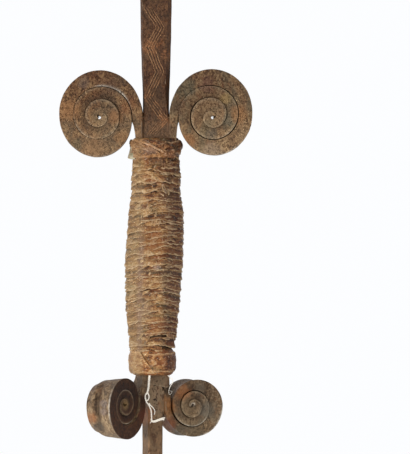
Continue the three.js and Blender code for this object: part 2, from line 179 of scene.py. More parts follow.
# %% Wrap a socket
class Wire:
    """A shader socket that can stand in a sum."""

    def __init__(self, finish, socket):
        self.finish = finish
        self.socket = socket

    def math(self, operation, *inputs):
        values = dict(enumerate(inputs))
        return self.finish.node("Math", {"operation": operation}, values)

    def __add__(self, other):
        return self.math("ADD", self, other)

    def __sub__(self, other):
        return self.math("SUBTRACT", self, other)

    def __rsub__(self, other):
        return self.math("SUBTRACT", other, self)

    def __mul__(self, other):
        return self.math("MULTIPLY", self, other)

    def __truediv__(self, other):
        return self.math("DIVIDE", self, other)

    __radd__ = __add__
    __rmul__ = __mul__

    def size(self):
        return self.math("ABSOLUTE", self)

    def part(self):
        return self.math("FRACT", self)

    def root(self):
        return self.math("SQRT", self)

    def between(self, low, high):
        """0 below low, 1 above high and smooth between them."""
        return self.finish.node(
            "MapRange", {"interpolation_type": "SMOOTHSTEP"},
            {"Value": self, "From Min": low, "From Max": high})


print("signs that work on a socket: + - * /")

# %% [markdown]
# A finish is a material with its place on the object. Every node comes from one method,
# which takes the node's type, its settings and what its sockets receive. The signs above
# call it too.


# %% Start a finish
class Finish:
    """A material under construction."""

    def __init__(self, name, roughness, metallic=0.0):
        self.material = bpy.data.materials.new(name)
        self.material.use_nodes = True
        self.tree = self.material.node_tree
        self.shader = self.tree.nodes["Principled BSDF"]
        self.shader.inputs["Roughness"].default_value = roughness
        self.shader.inputs["Metallic"].default_value = metallic
        self.place = self.node("TexCoord", {}, {}, "Object")

    def plug(self, socket, value):
        if isinstance(value, Wire):
            self.tree.links.new(value.socket, socket)
        else:
            socket.default_value = value

    def node(self, kind, settings, values, out=0):
        made = self.tree.nodes.new("ShaderNode" + kind)
        for name, value in settings.items():
            if name == "stops":
                ramp = made.color_ramp.elements
                while len(ramp) < len(value):
                    ramp.new(0.5)
                for element, (position, colour) in zip(ramp, value):
                    element.position = position
                    element.color = colour
            else:
                setattr(made, name, value)
        for key, value in values.items():
            self.plug(made.inputs[key], value)
        return Wire(self, made.outputs[out])

    def set(self, name, value):
        self.plug(self.shader.inputs[name], value)

    def stretched(self, scale):
        return self.node("Mapping", {}, {"Vector": self.place, "Scale": scale})

    def noise(self, per_metre, detail=3.0, rough=0.6, vector=None, twist=0.0):
        return self.node("TexNoise", {}, {
            "Vector": vector or self.place, "Scale": per_metre, "Detail": detail,
            "Roughness": rough, "Distortion": twist})

    def mix(self, factor, first, second, way="MIX"):
        return self.node("Mix", {"data_type": "RGBA", "blend_type": way},
                         {0: factor, 6: first, 7: second}, 2)

    def ramp(self, factor, *stops):
        return self.node("ValToRGB", {"stops": stops}, {0: factor})

    def axes(self):
        """Distances from the grip's centre in millimetres."""
        return [self.node("SeparateXYZ", {}, {0: self.place}, axis) * 1000 for axis in "XYZ"]

    def relief(self, height, depth_mm, strength=1.0):
        self.set("Normal", self.node("Bump", {}, {
            "Strength": strength, "Distance": depth_mm * MM, "Height": height}))


print("materials so far:", len(bpy.data.materials))

# %% [markdown]
# Colours are easiest to read off a picture, where they run from 0 to 255. The shader
# counts light instead, so each colour is turned into its amount of light.


# %% Turn a picture's colours into the shader's
def srgb(red, green, blue):
    """A colour as a picture shows it, from 0 to 255, as the shader counts it."""
    def linear(value):
        value /= 255
        return value / 12.92 if value <= 0.04045 else ((value + 0.055) / 1.055) ** 2.4
    return (linear(red), linear(green), linear(blue), 1.0)


print("middle grey is", round(srgb(128, 128, 128)[0], 3), "to the shader")

# %% [markdown]
# ## The floor's paper
#
# The floor is pale paper. The lamps leave it grey beside the white background, so it glows
# a little by itself.

# %% Finish the floor
paper = Finish("floor_paper", 0.9)
paper.set("Base Color", paper.mix(paper.noise(3), srgb(236, 238, 240), srgb(242, 243, 244)))
paper.set("Emission Color", srgb(250, 252, 255))
paper.set("Emission Strength", 0.35)
floor.data.materials.append(paper.material)
print("floor finish:", paper.material.name)

# %% [markdown]
# ## Iron finishes
#
# Old wrought iron isn't grey. A brown skin of rust covers it, with a greenish grey bloom in patches
# and a lighter colour on the edges that hands and cloths have rubbed. Its crevices are darkened,
# partly as soot and partly as painted shade. Wrought iron also has a grain like wood, which shows
# as fine streaks. The finish mixes these from noise of several sizes. Each scroll's points also
# carry how much painted shade their inner side gets, how far their rims are rubbed and painted as
# lit, and how much painted highlight they get, in an attribute for wear and painted light. The
# blade adds its engraved zigzag, which is a common border of parallel lines.

# %% Read the wear and the painted light
def read_wear_and_light(finish):
    """The three values that a piece's points carry in the attribute named wear."""
    values = finish.node("Attribute", {"attribute_name": "wear"}, {}, "Color")
    return [finish.node("SeparateColor", {}, {0: values}, channel)
            for channel in ("Red", "Green", "Blue")]


print("the wear's channels are read as red, green and blue")

# %% Build the iron
# The darkest colour is soot in the crevices and also painted shade in the hollows. The rubbed
# colour also paints lit rims, and the palest one paints highlights.
soot_and_shade, rust_orange = srgb(44, 27, 16), srgb(128, 76, 38)
worn_edge, rubbed_and_lit, highlight_white = srgb(176, 154, 126), srgb(206, 184, 152), srgb(240, 230, 212)


def iron_finish(name, dark, base, light, bloom, bloom_share=0.5, grain=0.6, contrast=1.0):
    """Starts an iron, and gives it with its colour so far and the height of its relief."""
    iron = Finish(name, 0.5, 0.25)
    iron.set("Specular IOR Level", 0.3)
    streaks = iron.noise(900, 4, 0.7, iron.stretched((1, 1, grain)), 0.5)
    specks = iron.noise(1100, 4, 0.75)
    clouds = iron.noise(160, 4, twist=0.8)
    tone = (streaks + specks * 0.75 + clouds * 0.6 - 1.175) * contrast + 0.495
    colour = iron.ramp(tone, (0.3, dark), (0.5, base), (0.68, light), (0.8, light))
    patches = iron.noise(75, 3, 0.55, iron.stretched((1, 1, 0.6)), 0.8)
    colour = iron.mix(patches.between(0.48, 0.6) * bloom_share, colour, bloom)
    rust = iron.noise(240, 4, 0.7, twist=0.4).between(0.53, 0.68)
    colour = iron.mix(rust * 0.45, colour, rust_orange)
    edges = iron.node("NewGeometry", {}, {}, "Pointiness")
    colour = iron.mix(edges.between(0.52, 0.58) * 0.45, colour, worn_edge)
    # Soot and painted shade: crevices, where the pointiness is low, are darkened.
    colour = iron.mix((1 - edges.between(0.38, 0.48)) * 0.5, colour, soot_and_shade)
    hollow, rubbed_and_lit_rim, painted_shine = read_wear_and_light(iron)
    # Painted shade on the inner side of the scrolls' turns, and dark in the lower left one's
    # groove.
    colour = iron.mix(hollow * 0.8, colour, soot_and_shade)
    # The rims of the turns are rubbed, and painted lighter as lit.
    colour = iron.mix(rubbed_and_lit_rim * (specks * 0.8 + 0.1), colour, rubbed_and_lit)
    # Painted highlights on short stretches of the edges.
    colour = iron.mix(painted_shine * specks.between(0.3, 0.55), colour, highlight_white)
    iron.set("Roughness", 0.36 + specks * 0.3)
    pits = specks.between(0.34, 0.46)
    height = streaks * 0.5 + specks * 0.6 + pits * 0.4 + clouds * 0.5
    return iron, colour, height


def finish_iron(iron, colour, height, depth):
    iron.set("Base Color", colour)
    iron.relief(height, depth)
    print("iron finish:", iron.material.name)
    return iron.material


# %% [markdown]
# Stains are ragged spots. Each is given by where it is seen from the front, in millimetres
# to the right and up, its reach, its share and its colour. It goes right through, so the
# back has it too, and noise on the distance frays its edge.


# %% Add stains
def spot(finish, across, up, right, high, reach):
    """1 in a ragged round spot about a place, as it is seen from the front."""
    aside, above = across - right, up - high
    ragged = finish.noise(1100 / reach, 3, 0.6) * reach
    distance = (aside * aside + above * above).root() + ragged
    return 1 - distance.between(reach * 0.85, reach * 1.5)


def add_stains(finish, colour, stains):
    across, _, up = finish.axes()
    for right, high, reach, share, stain in stains:
        colour = finish.mix(spot(finish, across, up, right, high, reach) * share, colour, stain)
    return colour


print("a spot of reach 5 fades out at about", 5 * 1.5, "mm, less the noise")

# %% [markdown]
# The blade is the darkest iron. Below the grip the shaft is lighter, and its neck, between the two
# lower scrolls, has grey and rusty blotches and a column of dark pits. The neck is also painted
# lighter, as light against the lower collar's shadow.

# %% Shade the blade and the shaft
neck_pits = srgb(40, 20, 10)
blade_stains = [
    # right, height, reach, share, colour
    (-5, -79, 6, 0.6, srgb(204, 126, 80)), (5, -74, 6, 0.5, srgb(150, 96, 50)),
]
iron, colour, height = iron_finish(
    "blade_iron", srgb(44, 23, 11), srgb(77, 47, 25), srgb(113, 78, 49), srgb(75, 58, 38), 0.4,
    grain=0.3, contrast=0.7)
across, through, up = iron.axes()
tall = iron.stretched((1, 1, 0.6))
lower = 1 - up.between(-70, -50)
neck = lower * up.between(-84, -80)
colour = iron.mix(lower * 0.4, colour, srgb(130, 104, 76), "SCREEN")
colour = iron.mix((1 - up.between(64, 72)) * 0.3, colour, srgb(120, 100, 76), "SCREEN")
# Painted light: the neck is lightened against the lower collar's shadow.
colour = iron.mix(neck * 0.7, colour, srgb(124, 108, 88), "SCREEN")
colour = add_stains(iron, colour, blade_stains)
blotches = iron.noise(330, 3, 0.65, tall, 0.6)
colour = iron.mix(neck * blotches.between(0.45, 0.6) * 0.6, colour, srgb(128, 108, 82))
colour = iron.mix(lower * (1 - blotches.between(0.36, 0.47)) * 0.7, colour, srgb(70, 38, 20))
column = 1 - (across + 0.4 - up / 30 - 2.4).size().between(0.7, 1.4)
pitted = neck * column * iron.noise(1000, 1, 0.5).between(0.55, 0.62)
colour = iron.mix(pitted, colour, neck_pits)
print("nodes so far:", len(iron.tree.nodes))

# %% [markdown]
# The zigzag is four parallel scratches that swing from side to side. Its middle line runs through a
# list of turning points, and a Float Curve node reads it at any height. The distance from that
# line, taken in steps of 1.15 mm, gives the scratches. A little noise in the distance makes them
# look cut by hand, and rust has crusted over parts of them. The scratches are painted lighter,
# partly as rust in them and partly as a painted highlight.

# %% Scratch the zigzag
turning_points = [
    # height, how far to the right
    (56, 0), (60.8, -2.6), (68.4, 4.2), (79.8, -4), (92.3, 1.8), (104.8, -3.2), (114.3, 2.2),
    (125, -4.6),
]
zigzag_low, zigzag_high, zigzag_reach = 50, 130, 5
scratch_pitch = 1.15
line_slope = 0.84  # the scratches' spacing across their run, as a share of that across the blade
band_half = 2.2
rusty_spots = [
    # right, height, reach
    (-2.5, 105, 5), (4.6, 101, 3), (3.6, 67.5, 4), (-5, 79, 2.5),
]


def float_curve(finish, value, points):
    """A line through points, from 0 to 1 both ways, with sharp corners."""
    made = finish.node("FloatCurve", {}, {"Value": value})
    curve = made.socket.node.mapping
    line = curve.curves[0].points
    while len(line) < len(points):
        line.new(0.5, 0.5)
    for target, place in zip(line, points):
        target.location = place
        target.handle_type = "VECTOR"
    curve.update()
    return made


swing = float_curve(
    iron, (up - zigzag_low) / (zigzag_high - zigzag_low),
    [((level - zigzag_low) / (zigzag_high - zigzag_low), aside / zigzag_reach / 2 + 0.5)
     for level, aside in turning_points])
wobble = iron.noise(260, 2) - 0.5
from_line = (across - (swing - 0.5) * 2 * zigzag_reach + wobble) * line_slope
from_scratch = ((from_line / scratch_pitch).part() - 0.5).size()
band = 1 - from_line.size().between(band_half - 0.1, band_half + 0.1)
on_face = (1 - through.between(-1.5, -1.2)) * up.between(60, 62) * (1 - up.between(123, 125))
worn = iron.noise(420, 3, 0.7, tall).between(0.34, 0.56)
cut = (1 - from_scratch.between(0.08, 0.24)) * band * on_face * (0.1 + worn * 0.9)
ridges = from_scratch.between(0.3, 0.42) * band * on_face
colour = iron.mix(ridges * 0.3, colour, srgb(58, 32, 18))
# The scratches are painted lighter, partly as rust in them and partly as a painted highlight.
colour = iron.mix(cut * 0.75, colour, srgb(180, 134, 94))
crusted = on_face * iron.noise(520, 4, 0.75, twist=1.0).between(0.42, 0.62)
for right, high, reach in rusty_spots:
    rusty = spot(iron, across, up, right, high, reach) * crusted
    colour = iron.mix(rusty * 0.6, colour, srgb(182, 122, 78))
blade_iron = finish_iron(iron, colour, height - cut * 0.9, 0.4)

# %% [markdown]
# Each scroll gets its own shade. Its top is darker and its bottom lighter, as painted shade and
# painted light, and it is lighter towards its eye, with ragged spots of other colours where the
# photograph has them. The lower left one is bent away from the window, and its face is painted
# almost black as shade. The shade spares its rubbed and lit rims, its painted highlights and the
# top of its arm beside the neck, and its eye is painted lighter, as lit.

# %% Build the scrolls' shades
upper_reach, right_reach, left_reach = 22, 15, 16  # rough radii of the scrolls
bent_squash = 0.56  # how much its bend narrows the lower left scroll
bent_face = (0.83, -0.56, 0)  # the way that its face looks


def shade_bent_face(iron, colour, reach):
    across, _, up = iron.axes()
    _, rubbed_and_lit_rim, painted_shine = read_wear_and_light(iron)
    normal = iron.node("NewGeometry", {}, {}, "Normal")
    facing = iron.node(
        "VectorMath", {"operation": "DOT_PRODUCT"}, {0: normal, 1: bent_face}, "Value")
    arm_top = across.between(-8.5, -6.5) * up.between(-70.5, -66.5)
    # Painted shade: faces that look the bent face's way are darkened, except the rims, the painted
    # highlights and the top of the arm.
    shaded = facing.between(0.2, 0.6) * (1 - rubbed_and_lit_rim * 0.6 - painted_shine * 0.8) * (1 - arm_top)
    colour = iron.mix(shaded, colour, srgb(130, 98, 76), "MULTIPLY")
    # Painted light: the eye is lightened.
    return iron.mix((1 - reach.between(1, 4)) * 0.6, colour, srgb(168, 134, 88))


def scroll_finish(name, shades, bloom_share, eye, half_size, stains, squash=1.0):
    """shades are dark, base, light and bloom. eye is where the scroll's eye lies across
    and up, half_size its rough radius, and squash how much its bend narrows it. stains
    are right, height, reach and colour."""
    bent = squash < 1
    iron, colour, height = iron_finish(
        name, *(srgb(*shade) for shade in shades), bloom_share, contrast=1.3 if bent else 1.0)
    across, _, up = iron.axes()
    aside, above = (across - eye[0]) / squash, up - eye[1]
    reach = (aside * aside + above * above).root()
    low_side = 1 - (above / half_size * 0.5 + 0.5).between(0.05, 0.95)
    # Painted shade at the top and painted light towards the bottom.
    colour = iron.mix((1 - low_side) * 0.42, colour, srgb(60, 38, 24))
    colour = iron.mix(low_side * 0.22, colour, srgb(176, 148, 112))
    colour = add_stains(
        iron, colour, [(*place, 0.55, srgb(*tint)) for *place, tint in stains])
    if bent:
        colour = shade_bent_face(iron, colour, reach)
    else:
        colour = iron.mix((1 - reach.between(2, 6)) * 0.3, colour, srgb(176, 148, 112))
    return finish_iron(iron, colour, height, 0.6)


print("the lower left scroll's face looks", bent_face)

# %% [markdown]
# The upper right scroll is greener, and the upper left one browner, with orange rust at
# its left side.

# %% Finish the upper scrolls
upper_right_iron = scroll_finish(
    "upper_right_scroll_iron", [(64, 38, 20), (120, 86, 53), (172, 140, 100), (96, 92, 70)],
    0.5, (28.2, 69.4), upper_reach, [
        (15, 84, 6, (80, 76, 58)), (25, 86, 5, (96, 62, 48)), (36, 68, 4, (94, 88, 72)),
        (41, 71, 6, (150, 104, 62)), (16, 58, 5, (158, 106, 62)), (28, 61, 4, (100, 92, 78)),
        (28, 52, 6, (158, 136, 112)), (35, 79, 4, (150, 122, 76)), (44, 60, 5, (144, 118, 86)),
        (10.5, 74, 5, (72, 48, 30)), (8, 62, 4, (84, 60, 40))])
upper_left_iron = scroll_finish(
    "upper_left_scroll_iron", [(62, 34, 16), (120, 80, 45), (172, 134, 90), (90, 80, 60)],
    0.4, (-28.2, 69.4), upper_reach, [
        (-36, 87, 4.5, (98, 80, 68)), (-39, 56, 4.5, (78, 76, 60)), (-43, 73, 7, (160, 112, 70)),
        (-20, 70, 5, (140, 96, 58)), (-23, 86, 7, (86, 56, 36)), (-31, 54, 8, (150, 112, 76)),
        (-13.5, 75, 6, (124, 78, 44)), (-17, 60, 5, (150, 110, 70)),
        (-7.5, 62, 4, (150, 116, 84))])

# %% [markdown]
# The lower right scroll has orange rust beside the neck and a painted highlight in its eye, which
# is a small spot laid on twice. The lower left one has a painted grey sheen on its left rim and
# dark grooves on the side that it turns to the window.

# %% Finish the lower scrolls
lower_right_iron = scroll_finish(
    "lower_right_scroll_iron", [(52, 36, 22), (114, 87, 58), (170, 143, 110), (96, 92, 80)],
    0.5, (15.6, -74.3), right_reach, [
        (14, -68, 5.5, (176, 112, 64)), (5, -73, 5, (176, 118, 66)), (6, -77, 5, (160, 106, 60)),
        (7, -84, 5, (136, 66, 34)), (5.5, -66, 4, (62, 50, 38)), (25, -77, 5, (112, 104, 90)),
        (20, -88, 6, (86, 74, 56)), (22, -66, 4, (120, 104, 84)), (12, -87, 5, (80, 74, 62)),
        # A painted highlight in the eye, laid on twice.
        (18.5, -74, 1.4, (255, 240, 220)), (18.5, -74, 1.2, (255, 240, 220))])
# The grey paints a sheen on the left rim.
grey_sheen, groove_dark = (136, 122, 116), (62, 46, 24)
lower_left_iron = scroll_finish(
    "lower_left_scroll_iron", [(58, 38, 23), (134, 104, 72), (186, 158, 122), (124, 112, 98)],
    0.4, (-15, -73.3), left_reach, [
        (-5, -79, 5, (190, 110, 70)), (-31.5, -80, 4, (176, 112, 66)),
        (-5.5, -62, 5, (124, 106, 84)), (-28, -84, 4, (96, 86, 74)),
        # A painted grey sheen on the left rim.
        (-25.6, -72.5, 2.6, grey_sheen), (-25.8, -76.5, 2.6, grey_sheen),
        (-29.2, -70, 1.6, groove_dark), (-29.5, -72.6, 1.6, groove_dark),
        (-29.4, -75.2, 1.6, groove_dark), (-28.8, -78, 1.6, groove_dark)],
    squash=bent_squash)

# %% [markdown]
# ## The core's axis
#
# The bar isn't straight. It steps sideways inside the grip, and below the grip it is
# turned about its length. Every piece below the grip follows the same two curves, so they
# are written once and used by all. All measures are the CAD model's, in millimetres.

# %% Write down the core's measures
seat = 0.3  # air between two pieces that lie against each other
root_half_width, root_half_depth = 6.5, 4.6
shaft_half, shaft_chamfer = 4.0, 0.6
scale_top, scale_bottom = 49.6, -46.3
upper_collar_top, lower_collar_bottom = 59.25, -59.25
kink_top, kink_bottom = 30, -25
lower_axis = -1.75
lower_turn = math.radians(25)
print(f"below the grip the axis lies {lower_axis} mm aside")

# %% [markdown]
# A few small functions do most of the shaping below: one keeps a value between limits,
# one blends two values, one rises smoothly from 0 to 1, one peaks at a value, and one
# reads a table between its rows.


# %% Write the blending functions
def clamp(value, low=0.0, high=1.0):
    return max(low, min(high, value))


def lerp(first, second, share):
    return first + (second - first) * share


def rise(value, low, high):
    """0 at low, 1 at high and smooth between them."""
    share = clamp((value - low) / (high - low))
    return share * share * (3 - 2 * share)


def peak(value, middle, spread):
    """1 at the middle, fading smoothly over about the spread."""
    return math.exp(-((value - middle) / spread) ** 2)


def read(rows, height, column):
    """A value from a table of heights, read between its rows."""
    rows = sorted(rows)
    if height <= rows[0][0]:
        return rows[0][column]
    for low, high in zip(rows, rows[1:]):
        if height <= high[0]:
            return lerp(low[column], high[column], (height - low[0]) / (high[0] - low[0]))
    return rows[-1][column]


print("half way up, rise gives", rise(0.5, 0, 1), "and a quarter way up", rise(0.25, 0, 1))

# %% [markdown]
# With these, the axis and the turn can be written as two curves of the height. A piece's
# point is then given on the straight bar and carried to its true place by both.


# %% Follow the kinked and turned axis
def axis_x(height):
    return lower_axis * rise(-height, -kink_top, -kink_bottom)


def core_turn(height):
    return lower_turn * rise(-height, -scale_bottom, -lower_collar_bottom)


def on_core(across, through, height, turn=None):
    """A point given across the bar, through it and by height, on its kinked axis."""
    turn = core_turn(height) if turn is None else turn
    return Vector((
        axis_x(height) + across * math.cos(turn) - through * math.sin(turn),
        across * math.sin(turn) + through * math.cos(turn), height))


print("the shaft's front right corner:", on_core(shaft_half, -shaft_half, lower_collar_bottom))

# %% [markdown]
# Nothing made by hand is even. The unevenness comes from smooth noise that depends only
# on the place and a seed, so it is the same in each run.


# %% Add unevenness
def ripple(point, size, seed=0):
    """Smooth noise from -1 to 1 in lumps of about this size."""
    return noise.noise(Vector(point) / size + Vector((seed * 7.3, seed * 3.1, seed * 5.7)))


def creases(point, size, seed=0):
    """Sharp folds with soft hollows between them, rising to 1 at the folds."""
    return 1 - 4 * abs(ripple(point, size, seed))


print("noise in steps of a lump:", [round(ripple((x, 0.5, 0), 2), 2) for x in range(4)])

# %% [markdown]
# ## A bar to forge
#
# A smith starts from a straight bar, and so does this scene. The bar is a cube that is
# subdivided along each of its three directions. Each of its points then keeps its three
# shares of the bar, from -1 to 1, and a shaping function moves it to its forged place.


# %% Cut a straight bar into steps
def subdivide_along(bar, axis, cuts):
    """Cuts every edge that runs along an axis. The tool makes 100 cuts at most at once."""
    edit = bmesh.from_edit_mesh(bar.data)
    for edge in edit.edges:
        span = edge.verts[0].co - edge.verts[1].co
        edge.select = abs(span[axis]) > 0.999 * span.length
    bmesh.update_edit_mesh(bar.data)
    bpy.ops.mesh.subdivide(number_cuts=cuts)


def straight_bar(name, cuts):
    """cuts lists the rounds of subdivision across the bar, through it and along it."""
    clear_selection()
    bpy.ops.mesh.primitive_cube_add(size=2)
    bar = bpy.context.object
    bar.name = name
    bpy.ops.object.mode_set(mode="EDIT")
    bpy.ops.mesh.select_mode(type="EDGE")
    for axis, rounds in enumerate(cuts):
        for number in rounds:
            bpy.ops.mesh.select_all(action="DESELECT")
            subdivide_along(bar, axis, number)
    bpy.ops.object.mode_set(mode="OBJECT")
    print(f"{name}: a bar of {len(bar.data.vertices)} points")
    return bar


# %% [markdown]
# The Bevel modifier rounds the arrises of a shaped bar, a subdivision smooths them, and
# the Displace modifier presses the hammer's marks in, broad ones first and fine ones after.


# %% Forge it
def shape(piece, place):
    """Moves each point to where place() puts it, in millimetres."""
    for vertex in piece.data.vertices:
        vertex.co = place(vertex.co) * MM


def apply_modifier(piece, kind, **settings):
    bpy.context.view_layer.objects.active = piece
    modifier = piece.modifiers.new(kind.lower(), kind)
    for name, value in settings.items():
        setattr(modifier, name, value)
    bpy.ops.object.modifier_apply(modifier=modifier.name)


def hammer_marks(name, size):
    marks = bpy.data.textures.new(name, "CLOUDS")
    marks.noise_scale = size * MM
    marks.noise_depth = 2
    return marks


def smooth_below(piece, degrees):
    """Shades the edges smooth whose faces meet at less than an angle."""
    clear_selection()
    piece.select_set(True)
    bpy.context.view_layer.objects.active = piece
    bpy.ops.object.shade_smooth_by_angle(angle=math.radians(degrees))


def face_outwards(piece):
    bpy.context.view_layer.objects.active = piece
    bpy.ops.object.mode_set(mode="EDIT")
    bpy.ops.mesh.select_all(action="SELECT")
    bpy.ops.mesh.remove_doubles(threshold=0.001 * MM)
    bpy.ops.mesh.normals_make_consistent(inside=False)
    bpy.ops.object.mode_set(mode="OBJECT")


broad_marks = hammer_marks("broad_marks", 7)
fine_marks = hammer_marks("fine_marks", 2.2)
fine_depth = 0.35  # of the broad marks' depth
sharp_angle = math.radians(24)


def forge(piece, bevel, dents):
    """Rounds the arrises of a shaped bar and presses hammer marks into it."""
    face_outwards(piece)
    apply_modifier(piece, "BEVEL", width=bevel * MM, segments=2, limit_method="ANGLE",
                   angle_limit=sharp_angle, use_clamp_overlap=True)
    apply_modifier(piece, "SUBSURF", levels=1, render_levels=1)
    for marks, depth in ((broad_marks, dents), (fine_marks, dents * fine_depth)):
        apply_modifier(piece, "DISPLACE", texture=marks, texture_coords="LOCAL",
                       strength=depth * MM, mid_level=0.5)
    smooth_below(piece, 40)


print("marks of", [round(marks.noise_scale / MM, 1) for marks in (broad_marks, fine_marks)], "mm")

# %% [markdown]
# Every finished piece takes the place of a solid of the CAD model, or is added to it.


# %% Put a piece in its place
def dress(piece, material, slot, *nodes):
    """Gives a finished piece its material and its place in the assembly."""
    piece.data.materials.clear()
    piece.data.materials.append(material)
    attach(piece, "root")
    if nodes:
        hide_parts(*nodes)
    print(f"{piece.name}: {len(piece.data.polygons)} faces")


# %% [markdown]
# ## Blade and shaft
#
# One bar makes the blade, the tang inside the grip and the square spike. The blade widens
# towards its end and then comes to a point. Its left edge has a narrow bevel and its right
# edge a broader one. The table gives the half width and half thickness at each height.

# %% Write down the blade
blade_tip = 309
spike_tip = lower_collar_bottom - 115
spike_taper = 75
spike_tip_half = 0.9
left_bevel, right_bevel = 1.0, 2.0
scroll_root = 69.4
blade_run = 14  # over this run above the scrolls' roots the chamfers become the blade's bevels
core_steps = [
    # height, half width, half thickness
    (blade_tip, 0.7, 0.5), (304, 3.6, 1), (296, 7.2, 1.4), (284, 10.9, 1.8), (268, 13, 2.1),
    (248, 12.9, 2.3), (215, 11.6, 2.6), (170, 9.5, 2.9), (128, 7.9, 3.2), (112, 7.6, 3.4),
    (95, 7.1, 3.7), (82, 6.7, 4.2), (73.4, root_half_width, root_half_depth),
    (scale_top - 8, root_half_width, root_half_depth),
    (scale_bottom + 20, shaft_half, shaft_half),
    (spike_tip + spike_taper, shaft_half, shaft_half),
    (spike_tip + 4, spike_tip_half * 1.6, spike_tip_half * 1.6),
    (spike_tip, spike_tip_half * 0.4, spike_tip_half * 0.4),
]
print(f"from tip to tip: {blade_tip - spike_tip:.1f} mm")


# %% Forge the blade
def blade_point(share):
    """Shares of the bar: x across from edge to edge, y through it, z along it."""
    height = lerp(spike_tip, blade_tip, (share.z + 1) / 2)
    half_width, half_depth = (read(core_steps, height, column) for column in (1, 2))
    blade = rise(height, scroll_root, scroll_root + blade_run)
    chamfer = min(shaft_chamfer, half_depth * 0.4)
    edge = lerp(half_depth - chamfer, half_depth * 0.4, blade)
    left, right = (
        min(lerp(chamfer, bevel, blade), half_width * 0.6) for bevel in (left_bevel, right_bevel))
    lie = abs(share.y)
    on_edge = abs(share.x) > 0.999
    if on_edge and lie < 0.999:
        across = math.copysign(half_width, share.x)
        through = math.copysign(edge * min(1, lie * 2), share.y) if lie > 0.01 else 0
    else:
        across = lerp(left - half_width, half_width - right, (share.x + 1) / 2)
        through = half_depth * share.y
    across += 0.12 * ripple((0, 0, height), 9, 1) * math.copysign(1, share.x)
    return on_core(across, through, height)


blade = straight_bar("forged_blade_and_shaft", ([11], [3], [99, 1]))
shape(blade, blade_point)
forge(blade, 0.25, 0.22)
dress(blade, blade_iron, "forged_iron", "blade_and_shaft")

# %% [markdown]
# ## Rolled scrolls
#
# Each scroll is a tapered bar, rolled up from its thin end while hot, so the eye lies in
# the middle and the last turn runs out into a straight arm beside the grip. Blender has
# no tool that rolls a bar into a spiral, so the shaping function does it: it follows the
# seam between the turns, whose radius falls by the same pitch each turn. The outer side
# of the bar is hollowed by the hammer and the inner side is crowned, so the turns nest
# and no light comes through the seam.
#
# Turns are counted from the root, where the arm meets the scroll, towards the eye. In the table
# below, side is 1 on the right and way 1 upwards. The outer radii are given at each quarter turn.
# The seam has its radius at the root and falls by the pitch each turn, and drift moves its outer
# turns aside. The groove is how deep the outer side is hollowed, and the recess how far the inner
# turns are set back. The seam gapes between the turns of open_seam, and shadow is how dark the
# painted shade on the inner side of the turns is. The painted highlights on edges have whether they
# are outer, their turn, their spread in turns and their strength.

# %% Write down the scrolls
seam_gap, closed_gap = 0.45, 0.1
tip_thickness = 0.9
shank_share = 0.1  # of the bar's steps, for its straight arm
root_depth_share = 0.35  # how much of its spread in depth the bar has at the root
shanks = {
    "upper": dict(thickness=3.5, half_depth=5.4, core_half=root_half_width,
                  end=scale_top + seat, collar_edge=upper_collar_top),
    "lower": dict(thickness=3.0, half_depth=4.3, core_half=shaft_half,
                  end=scale_bottom - 2 * seat, collar_edge=lower_collar_bottom),
}
scrolls = {
    # The last list of each scroll gives its painted highlights on edges.
    "upper_right_scroll": dict(
        side=1, way=1, eye=scroll_root, radii=(21.4, 24.1, 19.9, 18.8), seam=16.5, pitch=6.05,
        drift=1.1, drift_angle=58, eye_radius=0.8, half_depth=7.8, groove=0.7, recess=0.5,
        open_seam=(0.14, 1.2), shadow=0.35, painted_highlights=[
            (True, 1.6, 0.15, 0.15), (True, 0.68, 0.08, 0.5)]),
    "upper_left_scroll": dict(
        side=-1, way=1, eye=scroll_root, radii=(21.4, 23.5, 19.9, 19.7), seam=16.2, pitch=6.2,
        drift=0.7, drift_angle=87, eye_radius=0.8, half_depth=7.8, groove=0.7, recess=1.2,
        open_seam=(-1, 0.3), shadow=0.7, painted_highlights=[
            (False, 0.16, 0.06, 7), (True, 1.6, 0.1, 0.2), (True, 0.74, 0.08, 0.3)]),
    "lower_right_scroll": dict(
        side=1, way=-1, eye=-74.3, radii=(14.9, 15.9, 16.4, 12.5), seam=11.3, pitch=4.6,
        drift=0.7, drift_angle=83, eye_radius=0.7, half_depth=7, groove=1.2, recess=-0.8,
        open_seam=(-1, 1.1), shadow=0.9, painted_highlights=[
            (True, 1.28, 0.12, 1.2), (True, 0.43, 0.04, 6), (True, 0.31, 0.02, 3),
            (True, 3.1, 0.15, 1), (False, 3.1, 0.2, 1)]),
    "lower_left_scroll": dict(
        side=-1, way=-1, eye=-73.3, radii=(16, 17.4, 15.4, 13), seam=11, pitch=4.6,
        drift=0.2, drift_angle=83, eye_radius=0.7, half_depth=8.1, groove=1.5, recess=1.2,
        groove_reach=0.13, taper=3, twist=31, spread=1.3, flush=True, open_seam=(-1, 0.6),
        shadow=1, painted_highlights=[(True, 1.2, 0.08, 0.8), (True, 1.75, 0.12, 0.5)]),
}
# Only the lower left scroll is bent and set aside. It lies flush with its arm in front,
# tapers towards its back and has a short groove.
plain = dict(groove_reach=math.inf, taper=0, twist=0, spread=0, flush=False)
scrolls = {name: {**plain, **form} for name, form in scrolls.items()}
print(f"{len(scrolls)} scrolls")

# %% [markdown]
# The seam is an Archimedean spiral, as a rolled bar of even thickness makes it. These
# functions give its radius, how wide it gapes and how deep the bar is hollowed at any turn.


# %% Follow the seam
def whole_turns(form):
    """Turns from the root to the bar's thin end."""
    return (form["seam"] - form["eye_radius"] - seam_gap / 2 - tip_thickness) / form["pitch"] + 1


def turns_along(form, along):
    return whole_turns(form) * (along - shank_share) / (1 - shank_share)


def gap_width(form, turns):
    first, last = form["open_seam"]
    opened = rise(turns, first - 0.1, first + 0.1)
    opened *= 1 - rise(turns, last - 0.15, last + 0.15)
    return lerp(closed_gap, seam_gap, opened)


